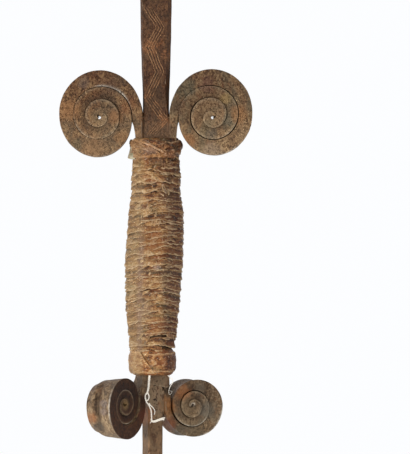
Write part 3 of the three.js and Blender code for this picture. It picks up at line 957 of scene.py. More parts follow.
def seam_radius(form, turns):
    """The outer turns drift aside a little, and the inner ones lie true."""
    fade = 1 - rise(turns, 1.4, 2.4)
    swing = math.cos(2 * math.pi * turns - math.radians(form["drift_angle"]))
    return form["seam"] - form["pitch"] * turns + form["drift"] * fade * swing


def groove_depth(form, turns):
    return form["groove"] * peak(turns, 0.5, form["groove_reach"])


def quarter_radius(values, turns):
    """Radius between the values at each quarter turn, smooth through each."""
    index = min(int(turns * 4), len(values) - 2)
    a, b, c, d = (values[min(abs(k), len(values) - 1)] for k in range(index - 1, index + 3))
    f = turns * 4 - index
    return b + 0.5 * f * (c - a + f * (2 * a - 5 * b + 4 * c - d + f * (3 * (b - c) + d - a)))


for node, form in scrolls.items():
    print(f"{node}: {whole_turns(form):.1f} turns")

# %% [markdown]
# Both functions below give the bar's section at a place: at which turn it lies, its height
# if it is the straight arm's, how far it is bent out of the arm's line, how far the core
# turns it, its inner and outer radius, how deep its hollow is, how far it is set back, how
# much it tapers, and its half depth.


# %% Give the bar its sections
def shank_section(form, bar, t):
    """t runs from 0 inside the collar to 1 at the root."""
    root, end, eye = form["radii"][0], bar["end"], form["eye"]
    height = lerp(end, eye, t)
    bent = rise(t, abs(bar["collar_edge"] - end) / abs(eye - end), 1)
    thickness = lerp(bar["thickness"], root - seam_radius(form, 0) - seam_gap / 2, bent)
    return dict(
        turns=0, height=height, bent=bent, turn=core_turn(height) if form["way"] < 0 else 0,
        inside=root - thickness, outside=root, hollow=0, back=0, taper=0,
        half_depth=lerp(bar["half_depth"], form["half_depth"], root_depth_share * bent))


def coil_section(form, bar, turns):
    opened = rise(turns, 0, 0.25)
    inside = max(form["eye_radius"], seam_radius(form, turns) + gap_width(form, turns) / 2)
    if turns < 1:
        outside = quarter_radius((*form["radii"], seam_radius(form, 0) - seam_gap / 2), turns)
    else:
        outside = seam_radius(form, turns - 1) - gap_width(form, turns - 1) / 2
    level = 1 - 0.5 * rise(turns, 1.2, 1.6) + 0.4 * rise(turns, 1.8, 2.6)
    return dict(
        turns=turns, height=None, bent=1, turn=lower_turn if form["way"] < 0 else 0,
        inside=inside, outside=outside, back=form["recess"] * rise(turns, 0.8, 1.1) * level,
        hollow=min(groove_depth(form, turns) * opened, (outside - inside) * 0.4),
        taper=form["taper"] * opened * (1 - rise(turns, 0.75, 1)),
        half_depth=lerp(bar["half_depth"], form["half_depth"], lerp(root_depth_share, 1, opened)))


tried = coil_section(scrolls["upper_right_scroll"], shanks["upper"], 1.5)
print("one and a half turns in, the upper right bar is",
      round(tried["outside"] - tried["inside"], 1), "mm thick")

# %% [markdown]
# A point's shares of the bar are then turned into its radius, with the outer side hollowed
# and the inner side crowned, and into its depth. The radius is laid round the eye, and the
# bend of the lower left scroll turns the result about its arm's front corner.


# %% Shape a scroll's bar
def section_radius(form, section, share, along):
    """Beside the core the arm swells by nearly the seat, so that no gap shows there."""
    turns, inside = section["turns"], section["inside"]
    from_front = (share.y + 1) / 2
    if form["groove_reach"] < 1:
        full = peak(share.y, 0.05, 0.24)
    else:
        full = 1 - rise(abs(share.y), 0.3, 0.85)
    outside = section["outside"] - section["hollow"] * full
    outside -= section["taper"] * (0.5 * from_front + 0.5 * rise(from_front, 0.7, 1))
    outside += (seat - 0.03) * full * (1 - rise(turns, 0.01, 0.12))
    if inside > form["eye_radius"] + 0.1:
        fitted = min(groove_depth(form, turns + 1), form["pitch"] * 0.27)
        crown = (fitted * 0.9 + seam_gap * 0.7) * full
        inside -= crown * rise(along, 0.75 * shank_share, shank_share)
    uneven = 0.1 * ripple((turns * 9, share.y, 0), 2.3, form["side"] + form["way"] * 2)
    return lerp(inside, outside, (share.x + 1) / 2) + uneven


def section_depth(form, bar, section, share):
    """The flat sides fall away towards the bar's outer edge, and more to its inner one."""
    turns, half_depth = section["turns"], section["half_depth"]
    fall = 0.15 * max(0, share.x) ** 3
    inner_fall = lerp(0.45, 1.0, rise(turns, 0.6, 1.3)) * rise(turns, 0, 0.3)
    fall += inner_fall * ((1 - share.x) / 2) ** 1.6
    middle = section["back"] + (half_depth - bar["half_depth"] if form["flush"] else 0)
    return share.y * (half_depth - fall) + middle


def scroll_point(form, share):
    """Shares of the bar: x from its inner to its outer side, y through it, z along it."""
    bar = shanks["upper" if form["way"] > 0 else "lower"]
    along = (share.z + 1) / 2
    if along < shank_share:
        section = shank_section(form, bar, along / shank_share)
    else:
        section = coil_section(form, bar, turns_along(form, along))
    radius = section_radius(form, section, share, along)
    angle = 2 * math.pi * section["turns"]
    hinge_across = form["side"] * (bar["core_half"] + seat)
    hinge_through = -bar["half_depth"]
    aside = form["side"] * (form["radii"][0] - radius * math.cos(angle))
    behind = section_depth(form, bar, section, share) - hinge_through
    twist = math.radians(form["twist"]) * -form["side"] * section["bent"]
    across = hinge_across + aside * math.cos(twist) - behind * math.sin(twist)
    across += form["side"] * form["spread"] * section["bent"]
    through = hinge_through + aside * math.sin(twist) + behind * math.cos(twist)
    height = section["height"]
    if height is None:
        height = form["eye"] + form["way"] * radius * math.sin(angle)
    return on_core(across, through, height, section["turn"])


print("a corner of the upper right scroll's thin end:",
      scroll_point(scrolls["upper_right_scroll"], Vector((1, -1, 1))))

# %% [markdown]
# The turns show mostly by painted light and shade: the inner side of each is painted dark as shade,
# and the outer side is rubbed and painted bright as lit, more on one scroll than on another. Each
# point of a bar carries how much painted shade, how much rubbed and lit rim and how much painted
# highlight it gets. Short stretches of the turns' edges get a painted highlight: under the upper
# left scroll's root, at the lower rims of the upper scrolls, at the lower right rim and the eye of
# the lower right one, and on the discs inside all four. The front lip of the lower left scroll is
# bright with a painted highlight beside a dark groove.


# %% Mark the wear and the painted light
def scroll_light_and_wear(form, share):
    turns = max(0, turns_along(form, (share.z + 1) / 2))
    front = rise(-share.y, 0.7, 1)
    # Painted shade on the inner side of the turns.
    hollow = form["shadow"] * front * rise(-share.x, -0.6, 1) * rise(turns, 0.3, 1)
    # The outer side's rims, rubbed and painted lighter as lit.
    rubbed_and_lit_rim = 0.55 * front * rise(share.x, 0.4, 1) * rise(turns, 0.9, 1.3)
    painted_shine = 0
    # Painted highlights on short stretches of the edges.
    for outer, turn, spread, strength in form["painted_highlights"]:
        edge = rise(share.x if outer else -share.x, 0.72, 1)
        painted_shine += strength * front * edge * peak(turns, turn, spread)
    if form["groove_reach"] < 1:
        outer_face = rise(share.x, 0.9, 1)
        rubbed_and_lit_rim *= 1.5
        # The groove is dark, and the lip beside it is rubbed, painted lit and given a painted
        # highlight.
        hollow += 1.2 * outer_face * peak(share.y, 0.02, 0.17) * peak(turns, 0.47, 0.13)
        rubbed_and_lit_rim += 0.25 * outer_face * peak(share.y, -0.5, 0.3) * peak(turns, 0.5, 0.13)
        painted_shine += outer_face * rise(-share.y, 0.84, 1) * peak(turns, 0.5, 0.09)
    return clamp(hollow), clamp(rubbed_and_lit_rim), clamp(painted_shine)


def write_wear_and_light(piece, values):
    wear = piece.data.attributes.new("wear", "FLOAT_COLOR", "POINT")
    wear.data.foreach_set("color", [part for value in values for part in (*value, 1)])


print("wear at the lower left scroll's lip:", [
    round(value, 2) for value in scroll_light_and_wear(scrolls["lower_left_scroll"], Vector((1, -1, -0.5)))])

# %% [markdown]
# The wear and the painted light are written before the bar is shaped, while each point still holds
# its shares.
# The bent scroll shows its side, so its bar has more steps through it.

# %% Roll the scrolls
scroll_irons = {
    "upper_right_scroll": upper_right_iron, "upper_left_scroll": upper_left_iron,
    "lower_right_scroll": lower_right_iron, "lower_left_scroll": lower_left_iron,
}
for node, form in scrolls.items():
    depth_cuts = 13 if form["twist"] else 7
    scroll = straight_bar("rolled_" + node, ([7], [depth_cuts], [99, 2]))
    write_wear_and_light(scroll, [scroll_light_and_wear(form, vertex.co) for vertex in scroll.data.vertices])
    shape(scroll, lambda share: scroll_point(form, share))
    forge(scroll, 0.3, 0.3)
    dress(scroll, scroll_irons[node], "scroll_iron", node)

# %% [markdown]
# ## Wooden scales
#
# The two scales that pad the grip are hidden by the hide. They keep their CAD shape and
# get a plain rough wood, for a place where a gap in the binding might show them.

# %% Finish the wood
wood = Finish("rough_wood", 0.8)
rings = wood.noise(500, 4, 0.6, wood.stretched((1, 1, 0.08)))
wood.set("Base Color", wood.ramp(rings, (0.3, srgb(58, 38, 22)), (0.7, srgb(104, 74, 46))))
wood.relief(rings, 0.2)
for name in ("front_grip_scale", "back_grip_scale"):
    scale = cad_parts[name]
    scale.data.materials.clear()
    scale.data.materials.append(wood.material)
    print(f"{name} keeps its shape")

# %% [markdown]
# ## Hide finishes
#
# Rawhide dries to a tan with redder and darker places where the fat or the hand's sweat has soaked
# in. Cut edges fray and stay pale. Each piece of hide carries an attribute for wear and painted
# light with three values: its own shade, with painted shade under overlapping edges and at the
# collars' turned-in edges, how near a point lies to the frayed edge, and how much the hand has
# greyed it. The right side is darker, partly as painted shade, and the left side greyer and
# lighter, partly as painted light, as in the photograph. Ridges of folds are painted lighter and
# their hollows darker, as light and shade, and small pale glints are painted highlights.

# %% Build the hide
fat_red, dust_green, sweat_and_shade = srgb(142, 74, 40), srgb(128, 116, 80), srgb(122, 62, 22)
left_lit_grey, hand_grey, glint = srgb(144, 125, 92), srgb(150, 118, 96), srgb(232, 206, 178)


def hide_finish(name, shades, depth, sides=1.0, contrast=1.0, stains=()):
    """shades are dark, base, light and frayed. sides is how much the right side darkens, partly as
    painted shade, and the left one greys and lightens, partly as painted light. stains are ragged
    spots: right, height, reach, share and colour."""
    dark, base, light, frayed = (srgb(*shade) for shade in shades)
    hide = Finish(name, 0.5)
    hide.set("Specular IOR Level", 0.3)
    shade, edge, greyed = read_wear_and_light(hide)
    blotches = hide.noise(260, 3, twist=0.7)
    fibres = hide.noise(760, 4, 0.75, hide.stretched((0.5, 0.5, 1)), 1.0)
    specks = hide.noise(1500, 3, 0.75)
    fine = (fibres - 0.5) * 1.15 + (specks - 0.5) * 0.55
    tone = shade * 0.5 + blotches * 0.45 + fine * contrast + 0.02
    colour = hide.ramp(tone, (0.16, dark), (0.46, base), (0.74, light), (0.92, frayed))
    reds = hide.noise(120, 3, 0.6, hide.stretched((0.6, 0.6, 1)), 1.0)
    colour = hide.mix(reds.between(0.52, 0.64) * 0.4, colour, fat_red)
    colour = hide.mix((1 - reds.between(0.36, 0.47)) * 0.4, colour, dust_green)
    across = hide.axes()[0]
    # The right side is darkened and reddened, partly by sweat and partly as painted shade.
    colour = hide.mix(across.between(1, 7) * 0.7 * sides, colour, sweat_and_shade, "MULTIPLY")
    # The left side is greyed and lightened, partly as painted light.
    colour = hide.mix((1 - across.between(-8, -4.5)) * 0.42 * sides, colour, left_lit_grey)
    colour = add_stains(hide, colour, stains)
    # Painted light and shade on the folds: their ridges are lighter and their hollows darker.
    folds = hide.node("NewGeometry", {}, {}, "Pointiness")
    colour = hide.mix(folds.between(0.51, 0.6) * 0.55, colour, light)
    colour = hide.mix((1 - folds.between(0.38, 0.485)) * 0.8, colour, dark)
    colour = hide.mix(greyed * (0.3 + fibres) * 0.8, colour, hand_grey)
    colour = hide.mix(edge * (0.2 + specks), colour, frayed)
    # Painted glints: small pale highlights.
    glints = hide.noise(1100, 2, 0.5).between(0.62, 0.7)
    colour = hide.mix(glints * 0.45, colour, glint)
    hide.set("Base Color", colour)
    hide.set("Roughness", 0.6 - blotches * 0.35)
    hide.relief(fibres * 0.7 + specks * 0.5 + blotches * 0.5, depth)
    print("hide finish:", name)
    return hide.material


# %% [markdown]
# Only the binding has stains. The lower collar is lighter and redder than the upper one,
# and the loose end is a pale greenish grey.

# %% Finish the hides
orange_hide, dark_hide = srgb(150, 90, 42), srgb(84, 52, 28)
wrap_stains = [
    # right, height, reach, share, colour
    (-1.5, 9, 8, 0.5, orange_hide), (3, 5, 7, 0.4, orange_hide),
    (4, 30, 4.5, 0.6, srgb(74, 42, 22)), (9, 30, 4.5, 0.6, srgb(74, 42, 22)),
    (3, 18, 4.5, 0.5, dark_hide), (3, 43, 4, 0.45, srgb(110, 58, 30)),
    (-7, 44, 5, 0.3, srgb(172, 132, 76)), (4, -10, 5, 0.45, dark_hide),
    # The pale spot 0.4 mm right and 5.5 mm down is a painted glint.
    (0.4, -5.5, 2.6, 0.3, srgb(206, 184, 164)), (-6, -26, 6, 0.35, srgb(150, 134, 112)),
    (1, -36, 7, 0.4, srgb(138, 78, 40)),
]
wrap_hide = hide_finish(
    "bound_hide", [(54, 29, 14), (146, 95, 51), (200, 155, 100), (230, 203, 163)], 0.9,
    contrast=1.25, stains=wrap_stains)
upper_hide = hide_finish(
    "upper_collar_hide", [(54, 28, 13), (148, 94, 48), (214, 160, 104), (244, 210, 176)], 0.8,
    contrast=1.5)
lower_hide = hide_finish(
    "lower_collar_hide", [(66, 34, 15), (166, 104, 54), (214, 162, 104), (232, 198, 152)], 0.6,
    contrast=1.9)
pale_hide = hide_finish(
    "pale_hide", [(112, 104, 78), (158, 150, 120), (190, 182, 154), (200, 192, 166)], 0.25,
    sides=0.0)

# %% [markdown]
# ## The grip's outline
#
# Under the hide the grip is eight-sided: a front and a back facet, two narrow sides and
# four slopes between them. The distance from the axis to such an outline at any angle is
# a sum over the facets, with a high power that leaves the corners a little round, as hide
# does. Angles are measured from the right, so -90 degrees is the front.

# %% Write down the outline
grip_steps = [
    # height, how far the wood stands out sideways and forwards
    (scale_top, 4.8, 4.4), (32, 5.5, 5), (21, 6.9, 6.1), (0, 7.6, 6.7), (-25, 6.6, 5.9),
    (scale_bottom, 4.6, 4.3),
]
front_half, side_half = 5.1, 4.1  # half widths of the facets, with the hide's round corners
corner_power = 26
quarter_turn = math.pi / 2


def grip_radius(angle, height, proud):
    width = root_half_width + read(grip_steps, height, 1) + proud
    depth = root_half_depth + read(grip_steps, height, 2) + proud
    run, drop = width - front_half, depth - side_half
    slope = math.atan2(run, drop)
    slope_distance = (width * drop + side_half * run) / math.hypot(drop, run)
    facets = [(0, width), (math.pi, width), (quarter_turn, depth), (-quarter_turn, depth)]
    facets += [(lean, slope_distance) for lean in (slope, math.pi - slope, -slope, slope - math.pi)]
    total = 0
    for facet, distance in facets:
        lean = math.cos(angle - facet)
        if lean > 0:
            total += (lean / distance) ** corner_power
    return total ** (-1 / corner_power)


def on_grip(angle, height, proud):
    radius = grip_radius(angle, height, proud)
    return Vector((
        axis_x(height) + radius * math.cos(angle), radius * math.sin(angle), height))


print(f"half width at the middle: {grip_radius(0, 0, 0):.1f} mm")

# %% [markdown]
# ## Strips of hide
#
# A strip starts as a flat grid, which is how it was cut. A winding function then lays each of its
# points on the grip or a collar and says how worn it is there and how much painted shade it gets,
# and the Solidify modifier gives the strip its thickness towards the inside.


# %% Make a strip
def looks_inwards(strip):
    """Whether most of the strip's area faces the grip's axis."""
    out = 0
    for face in strip.data.polygons:
        aside = face.center.x - axis_x(face.center.z / MM) * MM
        out += face.area * face.normal.dot(Vector((aside, face.center.y, 0)))
    return out < 0


def wound_strip(name, steps, rows, wind, thickness):
    """wind(along, across) gives a point and its wear, along 0 to 1 and across -1 to 1."""
    clear_selection()
    bpy.ops.mesh.primitive_grid_add(x_subdivisions=steps, y_subdivisions=rows, size=2)
    strip = bpy.context.object
    strip.name = name
    values = []
    for vertex in strip.data.vertices:
        point, wear = wind((vertex.co.x + 1) / 2, vertex.co.y)
        vertex.co = point * MM
        values.append([clamp(value) for value in wear])
    write_wear_and_light(strip, values)
    strip.data.update()
    if looks_inwards(strip):
        bpy.ops.object.mode_set(mode="EDIT")
        bpy.ops.mesh.select_all(action="SELECT")
        bpy.ops.mesh.flip_normals()
        bpy.ops.object.mode_set(mode="OBJECT")
    apply_modifier(strip, "SOLIDIFY", thickness=thickness * MM, offset=-1)
    smooth_below(strip, 50)
    return strip


print("a strip keeps its wear in an attribute of its points")

# %% [markdown]
# ## The binding
#
# One long strip is wound up the grip from the bottom. Each turn covers the top of the turn
# below it, so its lower edge stands proud and frays, as the photograph shows. The turns
# are narrow over the swell and broader near the top. They climb from the left side to the
# front and run nearly level to the right, because the strip was pulled tight at the left
# corner. Near the top the hide is crumpled.
#
# Where the strip lies, how proud it stands, and how worn it is with its painted shade are three
# functions. They read their unevenness at a place round the grip, so that it has no seam.

# %% Lay a strip round the grip
strip_bottom, strip_top = scale_bottom, scale_top + 1.5
mean_radius, mean_pitch = 12, 2.4
turn_length = 80  # roughly, for noise that runs along a strip
first_angle = -math.pi / 3
climb_angle = math.radians(50)
turn_steps = 124


def around(angle, height):
    """A place for noise on a round of the grip's mean radius."""
    return (math.cos(angle) * mean_radius, math.sin(angle) * mean_radius, height)


def strip_line(levels, turns, angle, overlap, climb, seed):
    """Height of the strip's middle, half its width and how crumpled it is there."""
    level = read(levels, turns, 1)
    pitch = read(levels, turns + 0.5, 1) - read(levels, turns - 0.5, 1)
    place = around(angle, turns * mean_pitch)
    half = max(pitch, mean_pitch) / 2 * overlap * (1 + 0.4 * ripple(place, 8, seed))
    fade = rise(level, -46, -38) * (1 - 0.6 * rise(level, 20, 30)) * (1 - rise(level, 43, 48))
    crumpled = 1 + 1.2 * rise(level, 33, 38)
    level += climb * math.cos(angle + climb_angle) * fade
    level += 1.2 * ripple(place, 9, seed + 1) * (0.3 + 0.7 * fade) * crumpled
    return level, half, crumpled


def strip_stand(turns, angle, across, half, level, height, crumpled, seed):
    """How proud a point stands beyond the strip's own stand and fall."""
    place, folded = around(angle, height), (turns * turn_length / 2, across * half, seed)
    right_swell = rise(math.cos(angle), 0.5, 0.9) * rise(level, -30, -20) * (
        1 - rise(level, 25, 32))
    lifted = 0.8 * max(0, ripple(around(angle, turns * mean_pitch), 5, seed + 4))
    crumples = 0.16 * creases(folded, 2.2, seed + 5) + 0.14 * creases(place, 1.2, seed + 6)
    crumples += 0.3 * ripple(place, 3.2, seed + 10)
    return lifted * (1 - across) / 2 + 0.35 * right_swell + crumples * crumpled


def strip_wear_and_shade(turns, angle, across, level, height, point, seed):
    """Its shade, with painted shade under the next turn's edge and painted light and shade on the
    creases near the top, its frayed lower edge, and the grey ridge left of the front's middle.
    """
    place = around(angle, turns * mean_pitch)
    shade = 0.6 + 0.7 * ripple((turns * 2.1, 0, 0), 1.3, seed + 7)
    # Painted shade: the upper part of each turn, under the next turn's edge, is darker.
    shade += 0.6 * ripple(place, 5, seed + 8) - 0.55 * rise(across, -0.25, 0.35)
    # Painted light and shade: near the top the creases' ridges are lighter and their hollows
    # darker.
    folds = creases(around(angle, height), 1.8, seed + 11)
    shade += (0.45 * folds + 0.12) * rise(level, 37, 43)
    edge = rise(-across, 0.7, 0.95) * (0.7 + 1.2 * ripple(place, 3, seed + 9))
    ridge = peak(point.x - axis_x(height), -6.4, 1.4) if point.y < 0 else 0
    greyed = ridge * (1 - rise(height, 0, 14)) + 0.4 * max(0, ripple(place, 8, seed + 10))
    return shade, edge, greyed


def wind_strip(name, levels, overlap, climb, stand, fall, thickness, seed, rows):
    """levels is a table of turns and heights. stand is how proud the middle of the strip
    lies, and fall how much deeper its upper edge is tucked in than that."""
    last = levels[-1][0]

    def lay(along, across):
        turns = along * last
        angle = first_angle - 2 * math.pi * turns
        level, half, crumpled = strip_line(levels, turns, angle, overlap, climb, seed)
        fray = 0.45 * ripple((turns * turn_length, across, 0), 1.5, seed + 2)
        fray += 0.45 * ripple((turns * turn_length, 0, 0), 4, seed + 3)
        height = level + across * half + fray * across ** 2
        height = clamp(height, strip_bottom - 0.3, strip_top + 0.3)
        proud = stand - fall * across
        proud += strip_stand(turns, angle, across, half, level, height, crumpled, seed)
        point = on_grip(angle, height, proud)
        return point, strip_wear_and_shade(turns, angle, across, level, height, point, seed)

    return wound_strip(name, int(last * turn_steps), rows, lay, thickness)


print("a winding has", turn_steps, "steps a turn")

# %% [markdown]
# The binding makes 31 turns. Its strip is broader than its pitch, so the turns overlap.

# %% Wind the binding
main_winding = wind_strip(
    "hide_binding", [(0, strip_bottom), (25, 25.5), (31, strip_top)], overlap=1.45, climb=4.6,
    stand=-0.5, fall=0.5, thickness=0.75, seed=1, rows=9)
dress(main_winding, wrap_hide, "wrap_hide", "hide_wrap")

# %% [markdown]
# A second, narrower strip runs nearly level where the first one climbs, so it crosses it.
# It was pulled in between the turns and only shows where it rides over them, which gives
# the binding its tangled look.

# %% Wind the crossing strip
crossing = wind_strip(
    "crossing_strip", [(0, strip_bottom + 3), (12, 24), (17, strip_top - 3)], overlap=0.6,
    climb=1.2, stand=0.0, fall=0.2, thickness=0.6, seed=41, rows=7)
dress(crossing, wrap_hide, "wrap_hide")

# %% [markdown]
# Over the winding lie short loose pieces: strip ends that were tucked in, torn tongues and
# a few pale fibres. Each is a small patch, given by its angle and height on the grip, its
# length and width, and its tilt from the level. The most striking ones lie where the
# photograph shows them, and the rest are strewn by a random generator with a fixed seed.


# %% Shape a patch
def patch(name, surface, angle, height, length, width, tilt, proud, shade, edge, seed):
    """A small piece of hide laid on a surface, torn and tucked in at its ends."""
    angle, tilt = math.radians(angle), math.radians(tilt)

    def lay(along, across):
        ends = abs(2 * along - 1)
        taper = 1 - 0.85 * ends ** 2.5
        torn = 1 + 0.3 * ripple((along * length, across * 3, 0), 1.6, seed)
        a = (along - 0.5) * length
        b = across * width / 2 * taper * torn + 0.4 * ripple((a, 0, 0), 3, seed + 2)
        turn = (a * math.cos(tilt) - b * math.sin(tilt)) / mean_radius
        up = clamp(height + a * math.sin(tilt) + b * math.cos(tilt), strip_bottom, strip_top)
        lift = proud + 0.25 * ripple((a, b, 0), 2.5, seed + 1) - 0.9 * ends ** 3
        tone = shade + 0.4 * ripple((a, b, 1), 2, seed) - 0.3 * max(0, across)
        pale = edge * (0.4 + 0.6 * rise(-across, 0, 1))
        return surface(angle + turn, up, lift), (tone, pale, 0)

    steps = max(6, int(length * 2))
    return wound_strip(name, steps, 4, lay, 0.5)


def join(pieces, name):
    clear_selection()
    for piece in pieces:
        piece.select_set(True)
    bpy.context.view_layer.objects.active = pieces[0]
    bpy.ops.object.join()
    pieces[0].name = name
    print(f"{name} is joined from {len(pieces)} pieces")
    return pieces[0]


print("the top of the binding lies at", strip_top, "mm")

# %% [markdown]
# On the left the ends lie steeper than on the right, and above the swell they lie any way.

# %% Strew the tucked ends
tucked_ends = [
    # angle, height, length, width, tilt, shade, pale edge
    (-104, 23, 5, 1.4, 55, 0.5, 0.4), (-90, 20.5, 6, 1.1, 82, 0.7, 0.6),
    (-80, 17, 4, 1.0, 70, 0.8, 0.6), (-99, 17, 5, 1.0, 48, 0.6, 0.5),
    (-70, 30.5, 1.6, 1.1, 80, 1.0, 1.0), (-52, 31.5, 2.2, 0.8, 84, 1.0, 1.0),
    (-98, -8.6, 3, 1.0, 70, 0.9, 0.9), (-92, -4.5, 2.5, 0.9, 20, 0.9, 0.9),
    (-60, -16.8, 1.8, 0.9, 40, 1.0, 1.0), (-58, -22.6, 1.8, 0.9, 30, 1.0, 1.0),
    (-62, -27, 1.8, 0.8, 40, 1.0, 1.0), (-48, -12, 2.4, 0.8, 24, 0.9, 0.9),
]
strewn_count, tucked_proud = 150, 0.3
wild_above = 33
strewn = random.Random(5)
for number in range(strewn_count):
    angle, height = strewn.uniform(-180, 180), strewn.uniform(-44, 47)
    left = math.cos(math.radians(angle)) < 0.1
    tilt = strewn.gauss(34 if left else 4, 14) if height < wild_above else strewn.gauss(0, 40)
    tucked_ends.append((
        angle, height, strewn.uniform(3, 8), strewn.uniform(1, 1.9), tilt,
        strewn.uniform(0.2, 0.95), strewn.uniform(0, 0.6)))
ends = [
    patch("tucked_end", on_grip, *measures[:5], tucked_proud, *measures[5:], seed)
    for seed, measures in enumerate(tucked_ends)]
dress(join(ends, "tucked_hide_ends"), wrap_hide, "wrap_hide")

# %% [markdown]
# ## Collars
#
# Above and below the grip, thicker bands of hide hold the scrolls' shanks to the bar. Each
# collar is a short tube that turns in at both ends, with the crossing bands laid over it.
# Its upper edge is painted dark as shade where it turns in, and the lower edge of the upper collar
# is tilted, higher on the right.

# %% Write down the collars
collars = {
    # half and core are half widths across and through, at its outside and where it turns in
    "upper": dict(low=scale_top - 0.5, high=upper_collar_top, half=(12.3, 10.6),
                  core=(10.6, 6.2), tilt=1.1),
    "lower": dict(low=lower_collar_bottom, high=scale_bottom + 0.5, half=(12, 11.4),
                  core=(8.4, 6.6), tilt=0),
}
round_power, core_power = 2.4, 4  # from round to square
wall = 1.0


def box_radius(half, power, angle):
    """The radius of an outline between an ellipse and a box."""
    x = abs(math.cos(angle) / half[0]) ** power
    y = abs(math.sin(angle) / half[1]) ** power
    return (x + y) ** (-1 / power)


def middle_and_half(form):
    return (form["low"] + form["high"]) / 2, (form["high"] - form["low"]) / 2


def collar_point(form, angle, height, proud):
    middle, half_height = middle_and_half(form)
    level = clamp((height - middle) / half_height, -1, 1)
    outer = box_radius(form["half"], round_power, angle) - wall
    core = box_radius(form["core"], core_power, angle)
    crown = (1 - abs(level) ** 3.2) ** (1 / 2.2)
    lump = 0.5 * ripple(around(angle, height), 4, 3)
    radius = lerp(core, outer, crown) + (proud + lump) * min(1, 0.3 + crown)
    return Vector((
        axis_x(middle) + radius * math.cos(angle), radius * math.sin(angle), height))


def on_upper_collar(angle, height, proud):
    return collar_point(collars["upper"], angle, height, proud)


def on_lower_collar(angle, height, proud):
    return collar_point(collars["lower"], angle, height, proud)


def shade_under_the_edge(angle, height):
    """How much painted shade a collar gets where its upper edge turns in. The upper one's left side
    gets none and stays bright.
    """
    if height < 0:
        top = collars["lower"]["high"]
        return 1.2 * rise(height, top - 2, top - 0.5)
    top = collars["upper"]["high"]
    return 1.7 * rise(height, top - 3, top - 1.4) * rise(math.cos(angle), -0.6, -0.3)


for name, form in collars.items():
    print(f"{name} collar: {form['high'] - form['low']:.1f} mm high")

# %% [markdown]
# The tube is a strip wound once round, whose ends are merged. A band is a strip too, with
# frayed edges. Its start is tucked in, and so is its end where that isn't cut.


# %% Make a collar's tube and bands
def collar_tube(name, form, surface, seed):
    middle, half = middle_and_half(form)

    def lay(along, across):
        angle = 2 * math.pi * along
        level = math.sin(across * math.pi / 2)
        height = middle + half * level
        shade = 0.45 + 0.5 * ripple(around(angle, height), 5, seed)
        # Painted shade where the tube turns in at both edges, and more under its upper edge.
        shade -= 0.6 * rise(abs(across), 0.7, 1) + shade_under_the_edge(angle, height)
        point = surface(angle, height, 0)
        point.z += form["tilt"] * math.cos(angle) * rise(-level, -0.5, 1)
        return point, (shade, 0, 0)

    tube = wound_strip(name, 120, 18, lay, 0.8)
    face_outwards(tube)
    return tube


def collar_band(name, surface, first, last, centre, half, proud, shade, seed, cut=None,
                crumple=1.0):
    """A band on a collar between two angles. cut() may shift its end by its height."""
    def lay(along, across):
        end = last + (cut(across) if cut else 0)
        angle = math.radians(lerp(first, end, along))
        where = around(angle, across)
        width = half(along) * (1 + 0.12 * ripple(where, 3, seed))
        height = centre(along) + across * width + 0.4 * ripple(where, 4, seed + 1)
        folded = (angle * 6, across * width, seed)
        tucked = 0.9 * (rise(along, 0.94, 1) * (0 if cut else 1) + rise(-along, -0.06, 0))
        lift = proud + 0.2 * (1 - across ** 2) + 0.25 * ripple(where, 2.6, seed + 2) - tucked
        lift += crumple * 0.3 * creases(folded, 2.4, seed + 5)
        lift += crumple * 0.2 * creases((angle * 12, across * width, seed), 1.3, seed + 6)
        edge = rise(abs(across), 0.8, 1) + (0.5 * rise(along, 0.97, 1) if cut else 0)
        edge *= 0.35 + 0.9 * ripple((angle * 6, 0, 0), 2.5, seed + 7)
        tone = shade + 0.5 * ripple(where, 4, seed + 3) + 0.3 * ripple(folded, 2, seed + 8)
        # Painted shade under the collar's upper edge.
        tone -= shade_under_the_edge(angle, height)
        point = surface(angle, height, lift)
        greyed = 0.5 * max(0, ripple(where, 4, seed + 9))
        if point.y < 0:
            greyed += 1.2 * peak(point.x, -2, 4) * peak(height, 53, 1.8)
        return point, (tone, edge, greyed)

    band = wound_strip(name, 140, 14, lay, 0.8)
    print(f"{name}: from {first} to {last} degrees")
    return band


print("collars:", ", ".join(collars))

# %% [markdown]
# On the upper collar one band crosses the other from the upper left to the lower right.
# Two narrow folds stand out on them: one slants down to the right over the front, and one
# runs along the lower edge.

# %% Bind the upper collar
upper_tube = collar_tube("upper_collar_tube", collars["upper"], on_upper_collar, 1)
under_band = collar_band(
    "upper_under_band", on_upper_collar, -178, 8, lambda t: lerp(51.8, 54.6, rise(t, 0, 0.9)),
    lambda t: 2.6 + 0.7 * rise(t, 0.5, 0.9), 0.6, 0.4, 5, crumple=1.5)
fold = collar_band(
    "upper_fold", on_upper_collar, -132, -66, lambda t: lerp(58, 51.6, t), lambda t: 0.55, 1.75,
    1.1, 17, crumple=0.5)
low_fold = collar_band(
    "upper_low_fold", on_upper_collar, -176, -30, lambda t: lerp(49.2, 51.6, rise(t, 0.2, 0.9)),
    lambda t: 0.7, 1.1, 0.9, 19, crumple=0.8)
over_band = collar_band(
    "upper_over_band", on_upper_collar, -205, -28, lambda t: lerp(56.2, 50.9, rise(t, 0.4, 0.8)),
    lambda t: 2.2, 1.25, 0.65, 9, crumple=1.5)
back_band = collar_band(
    "upper_back_band", on_upper_collar, 10, 170, lambda t: lerp(52.4, 56, rise(t, 0.1, 0.9)),
    lambda t: 2.6, 0.9, 0.5, 13)

# %% [markdown]
# The folded end of the lower band stands out on the right as a round knob: a ball,
# flattened against the collar and rolled in at its lower side.

# %% Shape the knob
clear_selection()
bpy.ops.mesh.primitive_uv_sphere_add(segments=32, ring_count=20, radius=1)
knob = bpy.context.object
knob.name = "upper_collar_knob"
knob_middle, knob_half = (10.6, 0.5, 55.1), (2.9, 5.2, 3.6)


